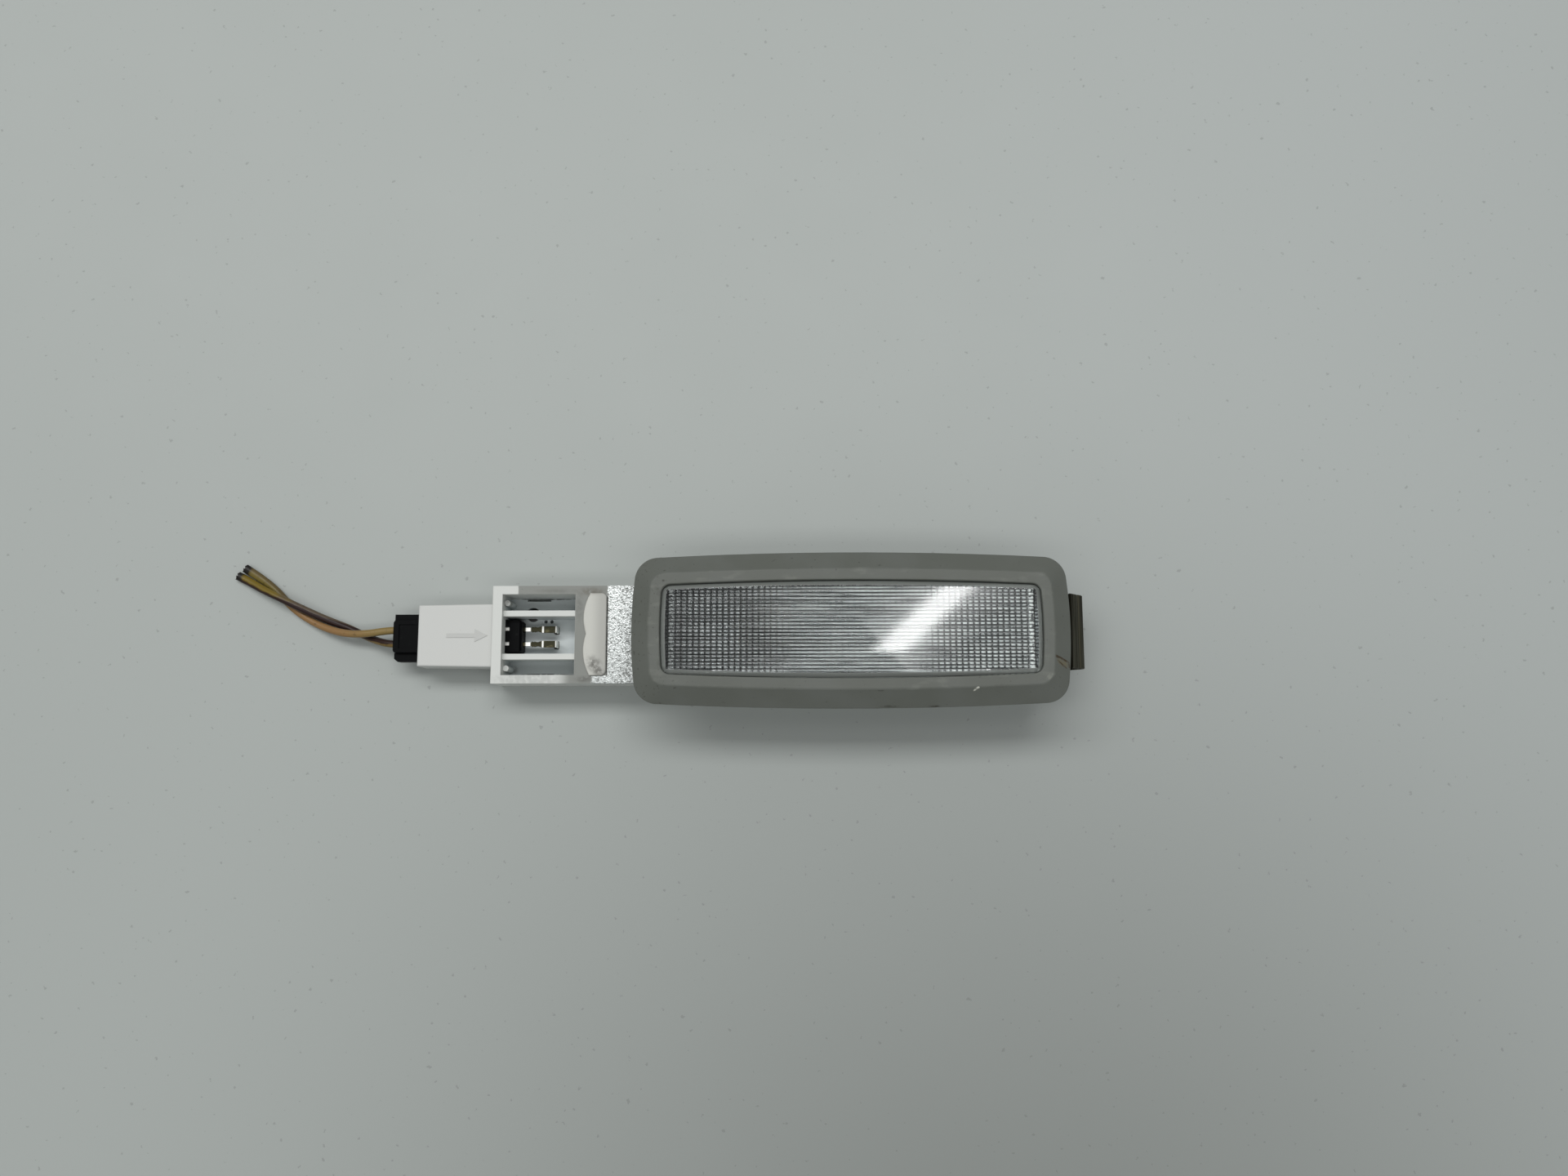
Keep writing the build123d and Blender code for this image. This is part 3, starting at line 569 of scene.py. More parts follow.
@dataclass(frozen=True)
class HousingFinish:
    """White moulding, metallised in the reflector and over the end by the bezel, with grey overspray and
    painted shade.
    """

    white: Colour = seen(208, 210, 206)
    socket_white: Colour = seen(200, 201, 198)
    arrow: Colour = seen(188, 189, 186)
    socket_edge: Pair = (-60.3, -60.8)
    arrow_edge: Pair = (-60.9, -61.1)
    arrow_rise: Pair = (6.84, 6.9)  # from the socket to the top of its arrow
    overspray: Colour = seen(131, 133, 128)
    pad: Colour = seen(198, 198, 191)
    pad_far: Colour = seen(174, 174, 168)
    window: Colour = seen(190, 200, 204)
    dirt: Colour = seen(70, 68, 62)
    brown: Colour = seen(96, 90, 78)
    # painted shade on the lower rim
    lower_rim_shade: Colour = seen(168, 171, 167)
    # near black, for painted shade
    black_shade_and_dirt: Colour = seen(14, 15, 16)
    silver: Colour = (0.6, 0.625, 0.615)
    silver_pit: Colour = (0.2, 0.208, 0.2)
    mirror: Colour = (0.46, 0.487, 0.49)
    # painted shade of the mirror towards the plug end
    mirror_plug_end_shade: Colour = (0.36, 0.38, 0.384)
    mirror_shade: Colour = (0.012, 0.013, 0.013)
    plug_end_shade_span: Pair = (6.0, -14.0)  # painted shade: the mirror darkens towards the plug end
    shade_end: Pair = (-25.0, -28.6)  # and darkens at its end wall
    shade_sides: Pair = (4.5, 7.5)  # and its side walls
    reflector_half: Pair = (30.9, 7.9)
    reflector_floor: float = 1.5
    window_span: Pair = (-58.8, -46.3)
    window_half: float = 6.9
    window_depth: Pair = (7.0, 3.5)  # down the inside faces of the window
    window_share: float = 0.55
    rim_level: float = 8.2  # rims and the pad above this height
    strip_foot: float = 5.0
    fade: float = 0.1  # over which a zone ends
    top_white_end: float = -56.1
    low_white_end: Pair = (-49.5, -46.9)
    low_rim: Pair = (-6.7, -6.9)
    low_silver_start: float = -43.4
    pad_span: Pair = (-44.9, -40.95)
    pad_half: float = 7.05
    pad_rise: Pair = (8.5, 8.6)
    groove_shade_width: float = 0.2  # of the painted shade line in the groove along the pad
    groove_shade_share: float = 0.85
    hole_shade_place: tuple[Point, Point] = ((-54.9, 4.08, 0.6), (1.32, 1.32, 1.02))  # painted shade: black in the hole in the window floor, middle and reach
    hole_shade_soft: float = 0.06
    speck_edges: Pair = (0.73, 0.78)
    speck_share: float = 0.35
    bezel_shade_span: Pair = (-36.0, -40.5)  # painted shade: more dark pits in the strip towards the bezel, fewer towards the pad
    bezel_shade_pits: Pair = (0.05, -0.05)
    pit_edges: Pair = (0.4, 0.68)
    white_rough: float = 0.48
    strip_rough: float = 0.3
    mirror_rough: float = 0.1
    grain_depth: float = 0.006
    sparkle_depth: float = 0.05

    def marks(self) -> tuple[Mark, ...]:
        """Dirt that the connector end shows, and painted shade in the window's corners, along its floor's
        edges and on its lower rim.

        Returns:
            The marks, in the order in which they are laid.
        """
        return (
            Mark((-42.9, -5.2, 8.9), (1.7, 2.3, 1.0), self.dirt, 0.8, 35, 0.9),
            Mark((-42.0, -6.4, 8.9), (1.3, 0.8, 1.0), self.dirt, 0.7, 0, 0.9),
            Mark((-44.6, -7.6, 8.4), (2.2, 0.8, 0.8), self.dirt, 0.6, 0, 0.9),
            Mark((-43.6, 7.3, 8.5), (3.4, 1.1, 0.9), self.brown, 0.75, 0, 0.95),
            Mark((-49.5, 7.4, 8.4), (5.0, 0.6, 0.6), self.dirt, 0.3, 0, 0.9),
            # painted shade on the lower rim
            Mark((-54.0, -7.6, 8.4), (7.5, 1.6, 0.9), self.lower_rim_shade, 0.55, 0, 0.6),
            Mark((-45.6, 4.6, 8.4), (0.9, 3.4, 0.9), self.dirt, 0.3, 0, 0.9),
            # painted shade in the window's corners by its end wall, laid in the dirt colour
            Mark((-57.9, -5.6, 1.6), (0.9, 1.0, 2.0), self.dirt, 0.5, 0, 0.8),
            Mark((-58.35, 5.6, 6.0), (0.9, 0.9, 2.5), self.dirt, 0.6, 0, 0.5),
            Mark((-57.4, 3.3, 2.0), (2.4, 1.4, 1.6), self.dirt, 0.75, 0, 0.8),
            # painted shade along the window floor's edges by its side walls
            Mark((-52.5, 6.85, 1.6), (6.4, 0.22, 0.4), self.black_shade_and_dirt, 0.9, 0, 0.5),
            Mark((-52.5, -6.4, 1.5), (6.4, 0.24, 0.4), self.black_shade_and_dirt, 0.8, 0, 0.5),
        )

    def zones(self, shader: Shader) -> tuple[Socket, Socket]:
        """Where the metal shows.

        Args:
            shader: Shader to build in.

        Returns:
            Masks of the mirror inside the reflector and of the sparkling strip outside it.
        """
        half_x, half_y = self.reflector_half
        soft = self.fade / 2
        mirror = shader.times(
            shader.rise(shader.math("ABSOLUTE", shader.x), half_x + soft, half_x - soft),
            shader.rise(shader.math("ABSOLUTE", shader.y), half_y + soft, half_y - soft),
            shader.rise(shader.z, self.reflector_floor - soft, self.reflector_floor + soft),
        )
        limit = shader.wavy(shader.x, shader.noise(1.4, 4.0, seed=5.0), 0.35)
        beyond_pad = shader.rise(limit, self.pad_span[1] - 0.1, self.pad_span[1] + 0.12)
        low_rim = shader.times(
            shader.rise(shader.y, -self.pad_half + 0.1, -self.pad_half - 0.05),
            shader.rise(limit, self.low_silver_start - 0.25, self.low_silver_start + 0.25),
        )
        strip = shader.times(
            shader.math("MAXIMUM", beyond_pad, low_rim),
            shader.rise(shader.z, self.strip_foot, self.rim_level),
            shader.rise(shader.x, -half_x, -half_x - 0.2),
        )
        return mirror, strip

    def plastic(self, shader: Shader) -> Socket:
        """Colour of the plastic: white, with overspray on the rims, the pad, bluish depths, dirt, and painted
        shade in the window and in the hole in its floor.

        Args:
            shader: Shader to build in.

        Returns:
            The colour.
        """
        fade, half = self.fade, self.window_half
        from_middle = shader.math("ABSOLUTE", shader.y)
        colour = shader.mix(shader.rise(shader.x, *self.socket_edge), self.white, self.socket_white)
        arrow = shader.times(shader.rise(shader.x, *self.arrow_edge), shader.rise(shader.z, *self.arrow_rise))
        colour = shader.mix(arrow, colour, self.arrow)
        limit = shader.wavy(shader.x, shader.noise(5.0, 4.0), 0.25)
        upper = shader.times(
            shader.rise(limit, self.top_white_end - 0.12, self.top_white_end + 0.12),
            shader.rise(shader.y, half - fade, half),
        )
        lower = shader.times(shader.rise(limit, *self.low_white_end), shader.rise(shader.y, *self.low_rim))
        end_wall = shader.times(
            shader.rise(shader.x, self.window_span[1] - fade, self.window_span[1]),
            shader.rise(shader.y, -half - fade, -half),
        )
        grey = shader.math("MAXIMUM", shader.math("MAXIMUM", upper, end_wall), lower)
        colour = shader.mix(shader.times(grey, self.on_top(shader)), colour, self.overspray)
        on_pad = shader.times(
            shader.between(shader.x, *self.pad_span, 0.08), shader.rise(shader.z, *self.pad_rise)
        )
        across_pad = shader.rise(shader.x, self.pad_span[0] + 1.0, self.pad_span[1] - 0.6)
        colour = shader.mix(on_pad, colour, shader.mix(across_pad, self.pad, self.pad_far))
        in_window = shader.times(
            shader.between(shader.x, *self.window_span, fade / 2),
            shader.rise(from_middle, half, half - fade),
            shader.rise(shader.z, *self.window_depth),
        )
        colour = shader.mix(shader.times(in_window, self.window_share), colour, self.window)
        colour = mark_over(shader, colour, self.marks(), shader.noise(0.7, 3.0, seed=2.0))
        # painted shade in the hole in the window floor
        colour = shader.mix(shader.spot(*self.hole_shade_place, soft=self.hole_shade_soft), colour, self.black_shade_and_dirt)
        specks = shader.rise(shader.noise(0.4, 2.0, seed=9.0), *self.speck_edges)
        return shader.mix(shader.times(specks, self.speck_share), colour, self.dirt)

    def on_top(self, shader: Shader) -> Socket:
        """1 on the rims and the pad, 0 below them."""
        return shader.rise(shader.z, self.rim_level - self.fade, self.rim_level)

    def material(self) -> bpy.types.Material:
        """Build the material.

        Returns:
            The material.
        """
        shader = Shader("housing_white")
        from_middle = shader.math("ABSOLUTE", shader.y)
        mirror, strip = self.zones(shader)
        # painted shade: the strip's pits grow towards the bezel
        bezel_shade = shader.scaled(shader.rise(shader.x, *self.bezel_shade_span), *self.bezel_shade_pits)
        pits = shader.math("ADD", shader.noise(0.36, 4.0, seed=14.0), bezel_shade)
        silver = shader.mix(shader.rise(pits, *self.pit_edges), self.silver, self.silver_pit)
        colour = shader.mix(strip, self.plastic(shader), silver)
        # painted shade along the groove at the pad's edge, laid in the dirt colour
        groove_shade = shader.times(
            shader.between(shader.x, self.pad_span[1], self.pad_span[1] + self.groove_shade_width, self.fade / 2),
            shader.rise(from_middle, self.pad_half + self.fade, self.pad_half - self.fade),
            self.on_top(shader),
        )
        colour = shader.mix(shader.times(groove_shade, self.groove_shade_share), colour, self.dirt)
        # painted shade on the mirror towards the plug end, at its end wall and along its side walls
        dull = shader.mix(shader.rise(shader.x, *self.plug_end_shade_span), self.mirror, self.mirror_plug_end_shade)
        ends = shader.rise(shader.x, *self.shade_end)
        sides = shader.rise(from_middle, *self.shade_sides)
        shaded = shader.mix(shader.math("MAXIMUM", ends, sides), dull, self.mirror_shade)
        colour = shader.mix(mirror, colour, shaded)
        smoother = shader.times(mirror, self.white_rough - self.mirror_rough)
        rough = shader.math("SUBTRACT", shader.scaled(strip, self.white_rough, self.strip_rough), smoother)
        grain = shader.bump(shader.noise(0.2, 2.0, seed=1.0), self.grain_depth)
        sparkle = shader.times(strip, shader.noise(0.26, 3.0, seed=4.0))
        return shader.finish(
            Base_Color=colour,
            Metallic=shader.math("MAXIMUM", mirror, strip),
            Roughness=rough,
            Normal=shader.bump(sparkle, self.sparkle_depth, grain),
        )


@dataclass(frozen=True)
class BlackMoulding:
    """Black plug plastic with soft wear and dust."""

    colour: Colour = seen(5, 6, 7)
    dust: Colour = seen(52, 52, 50)
    dust_edges: Pair = (0.58, 0.75)
    dust_share: float = 0.16
    rough: Pair = (0.4, 0.56)
    grain_depth: float = 0.004
    gloss: float = 0.07

    def material(self) -> bpy.types.Material:
        """Build the material.

        Returns:
            The material.
        """
        shader = Shader("black_moulding")
        dust = shader.rise(shader.noise(1.1, 4.0), *self.dust_edges)
        colour = shader.mix(shader.times(dust, self.dust_share), self.colour, self.dust)
        rough = shader.scaled(shader.noise(0.8, 2.0, seed=2.0), *self.rough)
        normal = shader.bump(shader.noise(0.12, 2.0, seed=4.0), self.grain_depth)
        return shader.finish(
            Base_Color=colour, Roughness=rough, Normal=normal, Specular_IOR_Level=self.gloss
        )


@dataclass(frozen=True)
class Metal:
    """Drawn, stamped or plated metal.

    Attributes:
        name: Name of the material.
        colour: Colour of the clean metal.
        tarnish: Colour where it has dulled.
        rough: Roughness of the clean metal.
        dull: Share of tarnish, from 0 to 1.
        tin_and_highlight_spans: Spans along X painted in the tin colour, partly tinned shoulders and partly
            painted highlights on tips and bends.
        painted_highlight: Colour of those spans, tin and painted highlight.
        streaks: How much longer the tarnish's patches are along each axis.
        patch_edges: Noise levels between which the tarnish starts, before dull lowers them.
        patch_reach: How far a dull of 1 lowers them.
        rougher: Roughness that the tarnish adds.
        grain_depth: Depth of the drawn grain.
    """

    name: str
    colour: Colour
    tarnish: Colour
    rough: float
    dull: float
    tin_and_highlight_spans: tuple[Pair, ...] = ()
    painted_highlight: Colour = (0.9, 0.9, 0.86)
    streaks: Point = (2.0, 1.0, 1.0)
    patch_edges: Pair = (0.75, 0.95)
    patch_reach: float = 0.6
    rougher: float = 0.15
    grain_depth: float = 0.004

    def material(self) -> bpy.types.Material:
        """Build the material.

        Returns:
            The material.
        """
        shader = Shader(self.name)
        edges = (edge - self.dull * self.patch_reach for edge in self.patch_edges)
        patches = shader.rise(shader.noise(0.9, 4.0, self.streaks), *edges)
        colour = shader.mix(patches, self.colour, self.tarnish)
        rough = shader.scaled(patches, self.rough, self.rough + self.rougher)
        # painted highlights and tin along the given spans
        for low, high in self.tin_and_highlight_spans:
            colour = shader.mix(shader.between(shader.x, low, high, 0.14), colour, self.painted_highlight)
        normal = shader.bump(shader.noise(0.25, 2.0, stretch=(6, 1, 1)), self.grain_depth)
        return shader.finish(Base_Color=colour, Metallic=1.0, Roughness=rough, Normal=normal)


@dataclass(frozen=True)
class WireJacket:
    """Wire insulation whose colour changes along its length, with a stripe that winds slowly round it.

    The piece's "jacket" attribute holds the cosine and sine of the angle round the wire, and the distance
    along it.

    Attributes:
        name: Name of the material.
        near: Colour by the plug.
        middle: Colour half way.
        far: Colour at the cut end.
        length: Length of the wire.
        stripe: Colour of the stripe.
        stripe_share: How strongly the stripe shows.
        stripe_turn: Angles of the stripe's middle at the plug and at the cut end, in degrees.
        stripe_span: Where along the wire it turns from one to the other.
        stripe_edge: Cosine of its half width in angle, at the plug and at the cut end.
        black_shade_and_dirt: Colour of the dirt, and of the painted shade that blackens the cut end.
        drift: How far noise moves the limits between the colours.
        middle_zone: Where the middle colour starts, and the share of the length at which it is full.
        far_zone: The same for the far colour, both as shares.
        stripe_soft: Limits between which the stripe's edge fades, and stripe_drift how far noise moves it.
        cut_shade_zone: Length of the blackened cut end, and how far noise moves its limit.
        dirt_edges: Noise levels between which the dirt starts, and dirt_share how strongly it covers.
        rough: Least and greatest roughness.
        grain_depth: Depth of the drawn grain.
        gloss: Specular level.
    """

    name: str
    near: Colour
    middle: Colour
    far: Colour
    length: float
    stripe: Colour
    stripe_share: float
    stripe_turn: Pair
    stripe_span: Pair
    stripe_edge: Pair
    # dirt, and painted shade that blackens the cut end
    black_shade_and_dirt: Colour = seen(22, 20, 16)
    drift: float = 2.5
    middle_zone: Pair = (4.0, 0.45)
    far_zone: Pair = (0.66, 0.8)
    stripe_soft: Pair = (-0.15, 0.2)
    stripe_drift: float = 0.3
    cut_shade_zone: Pair = (0.9, 0.8)
    dirt_edges: Pair = (0.6, 0.75)
    dirt_share: float = 0.4
    rough: Pair = (0.28, 0.5)
    grain_depth: float = 0.006
    gloss: float = 0.3

    def material(self) -> bpy.types.Material:
        """Build the material.

        Returns:
            The material.
        """
        shader = Shader(self.name)
        vector = shader.node("ShaderNodeAttribute", {}, output="Vector", attribute_name=Wire.ATTRIBUTE)
        cosine, sine, along = shader.split(vector)
        cloud = shader.noise(1.6, 4.0, seed=self.length)
        place = shader.wavy(along, cloud, self.drift)
        towards_cut = shader.rise(place, *(share * self.length for share in self.far_zone))
        middle_start, middle_share = self.middle_zone
        towards_middle = shader.rise(place, middle_start, middle_share * self.length)
        colour = shader.mix(towards_middle, self.near, self.middle)
        colour = shader.mix(towards_cut, colour, self.far)
        turned = shader.rise(along, *self.stripe_span)
        angle = shader.scaled(turned, *(math.radians(value) for value in self.stripe_turn))
        facing = shader.math(
            "ADD",
            shader.times(cosine, shader.math("COSINE", angle)),
            shader.times(sine, shader.math("SINE", angle)),
        )
        inside = shader.math("SUBTRACT", facing, shader.scaled(towards_cut, *self.stripe_edge))
        stripe = shader.rise(shader.wavy(inside, cloud, self.stripe_drift), *self.stripe_soft)
        colour = shader.mix(shader.times(stripe, self.stripe_share), colour, self.stripe)
        # painted shade: the cut end is blackened
        cut_shade_length, cut_shade_drift = self.cut_shade_zone
        black_shade_and_dirt = shader.rise(shader.wavy(along, cloud, cut_shade_drift), self.length - cut_shade_length, self.length)
        colour = shader.mix(black_shade_and_dirt, colour, self.black_shade_and_dirt)
        dirt = shader.rise(shader.noise(0.7, 3.0, seed=6.0), *self.dirt_edges)
        colour = shader.mix(shader.times(dirt, self.dirt_share), colour, self.black_shade_and_dirt)
        return shader.finish(
            Base_Color=colour,
            Roughness=shader.scaled(cloud, *self.rough),
            Normal=shader.bump(shader.noise(0.3, 2.0, stretch=(5, 1, 1)), self.grain_depth),
            Specular_IOR_Level=self.gloss,
        )


@dataclass(frozen=True)
class PaleFloor:
    """Pale grey table top, with painted light towards the right, a painted shadow to one side, and specks of
    dust.
    """

    colour: Colour = seen(168, 173, 170)
    # painted light towards the right
    right: Colour = seen(173, 178, 176)
    # painted shadow
    grey: Colour = seen(132, 136, 133)
    dust: Colour = seen(92, 93, 90)
    painted_shadow_place: tuple[Point, Point] = ((30.0, -125.0, 0.0), (175.0, 185.0, 50.0))  # painted shadow: middle and reach
    painted_light_span: Pair = (-30.0, 110.0)
    dust_edges: Pair = (0.69, 0.73)
    dust_share: float = 0.3
    rough: Pair = (0.5, 0.6)

    def material(self) -> bpy.types.Material:
        """Build the material.

        Returns:
            The material.
        """
        shader = Shader("pale_floor")
        colour = shader.mix(shader.rise(shader.x, *self.painted_light_span), self.colour, self.right)
        colour = shader.mix(shader.spot(*self.painted_shadow_place, soft=1.0), colour, self.grey)
        specks = shader.rise(shader.noise(1.15, 2.0, seed=12.0), *self.dust_edges)
        colour = shader.mix(shader.times(specks, self.dust_share), colour, self.dust)
        rough = shader.scaled(shader.noise(20.0, 2.0), *self.rough)
        return shader.finish(Base_Color=colour, Roughness=rough)


def dress(node: bpy.types.Object, material: bpy.types.Material) -> None:
    """Give an object one material, and report it.

    Args:
        node: Object to dress.
        material: Its material.
    """
    node.data.materials.clear()
    node.data.materials.append(material)
    log.info("%s: %s", node.name, material.name)


def grid_faces(rows: int, columns: int, first: int = 0, closed: bool = False) -> list[list[int]]:
    """Quads between rows of points.

    Args:
        rows: Number of rows.
        columns: Points in each row.
        first: Index of the first point.
        closed: Whether each row's last point joins its first.

    Returns:
        One list of four indices for each quad.
    """
    across = np.arange(columns if closed else columns - 1)
    start = first + np.arange(rows - 1)[:, None] * columns
    here = start + across
    beside = start + (across + 1) % columns
    return np.stack([here, beside, beside + columns, here + columns], axis=-1).reshape(-1, 4).tolist()


def make_piece(name: str, vertices: np.ndarray, faces: list, crease: float = 35.0) -> bpy.types.Object:
    """Make a closed piece.

    Args:
        name: Name of the object.
        vertices: Points in millimetres.
        faces: Lists of point indices.
        crease: Angle in degrees past which an edge stays sharp.

    Returns:
        The object, linked to the scene, with its faces pointing outwards.
    """
    mesh = bpy.data.meshes.new(name)
    mesh.from_pydata((vertices * MM).tolist(), [], faces)
    shell = bmesh.new()
    shell.from_mesh(mesh)
    bmesh.ops.recalc_face_normals(shell, faces=shell.faces)
    shell.to_mesh(mesh)
    shell.free()
    mesh.shade_smooth()
    mesh.set_sharp_from_angle(angle=math.radians(crease))
    made = bpy.data.objects.new(name, mesh)
    bpy.context.scene.collection.objects.link(made)
    return made


def resampled(line: np.ndarray, count: int) -> np.ndarray:
    """Points evenly spaced along a line.

    Args:
        line: Points of the line.
        count: Number of points wanted.

    Returns:
        That many points, the line's ends among them.
    """
    steps = np.linalg.norm(np.diff(line, axis=0), axis=1)
    reach = np.concatenate([[0.0], np.cumsum(steps)])
    wanted = np.linspace(0, reach[-1], count)
    return np.stack([np.interp(wanted, reach, axis) for axis in line.T], axis=1)


def line_frames(line: np.ndarray) -> tuple[np.ndarray, np.ndarray]:
    """Directions square to a line that never stands upright.

    The side direction is level, square to the line, and the lift direction is square to both.

    Args:
        line: Points of the line.

    Returns:
        The side and lift directions at each point.
    """
    forward = np.gradient(line, axis=0)
    forward /= np.linalg.norm(forward, axis=1, keepdims=True)
    side = np.cross([0.0, 0.0, 1.0], forward)
    side /= np.linalg.norm(side, axis=1, keepdims=True)
    return side, np.cross(forward, side)


def tube_rings(
    line: np.ndarray, radius: np.ndarray, sides: int, spread: np.ndarray | float = 1.0
) -> np.ndarray:
    """Rings of points about a line.

    Each ring's points are the line's point plus the radius times cosine along the side direction and sine
    along the lift direction.

    Args:
        line: Points of the line.
        radius: Radius at each point.
        sides: Points in each ring.
        spread: Widening along the side direction at each point.

    Returns:
        Points in an array of rings by sides by three.
    """
    side, lift = line_frames(line)
    angle = np.linspace(0, 2 * math.pi, sides, endpoint=False)[None, :, None]
    wide = side * np.broadcast_to(spread, len(line))[:, None]
    around = np.cos(angle) * wide[:, None, :] + np.sin(angle) * lift[:, None, :]
    return line[:, None, :] + radius[:, None, None] * around


@dataclass(frozen=True)
class BowedOutline:
    """Rounded rectangle whose four sides bow outwards.

    Attributes:
        length: Length along X.
        width: Width along Y.
        corner: Radius of the corners.
        side_bow: Radius of the long sides.
        end_bow: Radius of the short sides.
        fine: Points in each arc before they are spaced evenly.
    """

    length: float
    width: float
    corner: float
    side_bow: float = 650.0
    end_bow: float = 89.0
    fine: int = 400

    def quarter(self, inset: float) -> tuple[np.ndarray, np.ndarray]:
        """The quarter in +X and +Y, from the middle of the long side to the middle of the short one.

        Each side is an arc about a fixed centre. The corner is an arc about the point where the two side
        arcs, drawn smaller by the corner's radius, cross. An inset shortens every radius and keeps every
        centre.

        Args:
            inset: How far the outline is moved inwards.

        Returns:
            The part up to the middle of the corner, and the rest.
        """
        long_centre = np.array([0.0, self.width / 2 - self.side_bow])
        short_centre = np.array([self.length / 2 - self.end_bow, 0.0])
        long_radius = self.side_bow - self.corner
        short_radius = self.end_bow - self.corner
        apart = short_centre - long_centre
        distance = np.linalg.norm(apart)
        foot = (distance**2 + long_radius**2 - short_radius**2) / (2 * distance)
        height = math.sqrt(long_radius**2 - foot**2)
        along = apart / distance
        crossing = long_centre + foot * along + height * np.array([along[1], -along[0]])
        long_angle = math.atan2(*(crossing - long_centre)[::-1])
        short_angle = math.atan2(*(crossing - short_centre)[::-1])
        middle = (long_angle + short_angle) / 2

        def arc(centre: np.ndarray, radius: float, begin: float, end: float) -> np.ndarray:
            """Points of an arc."""
            angle = np.linspace(begin, end, self.fine)
            return centre + (radius - inset) * np.stack([np.cos(angle), np.sin(angle)], axis=1)

        first = [
            arc(long_centre, self.side_bow, math.pi / 2, long_angle),
            arc(crossing, self.corner, long_angle, middle),
        ]
        rest = [
            arc(crossing, self.corner, middle, short_angle),
            arc(short_centre, self.end_bow, short_angle, 0.0),
        ]
        return np.concatenate(first), np.concatenate(rest)

    def loop(self, inset: float, long_steps: int, short_steps: int) -> np.ndarray:
        """Points round the outline, from the corner at -X and -Y, anticlockwise.

        Args:
            inset: How far the outline is moved inwards.
            long_steps: Even number of steps along each long side, corner middle to corner middle.
            short_steps: Even number of steps along each short side.

        Returns:
            Points in the plane.
        """
        first, rest = self.quarter(inset)
        half_long = resampled(first, long_steps // 2 + 1)
        half_short = resampled(rest, short_steps // 2 + 1)
        flip_x, flip_y = np.array([-1, 1]), np.array([1, -1])
        top = np.concatenate([half_long[::-1], (half_long * flip_x)[1:]])
        right = np.concatenate([(half_short * flip_y), half_short[::-1][1:]])
        bottom = top[::-1] * flip_y
        left = right[::-1] * flip_x
        return np.concatenate([bottom[:-1], right[:-1], top[:-1], left[:-1]])


@dataclass(frozen=True)
class Panel:
    """Level ceiling panel.

    Attributes:
        name: Name of the lamp.
        place: Its middle.
        length: Size along X.
        width: Size along Y.
        power: Power in watts.
    """

    name: str
    place: Point
    length: float
    width: float
    power: float


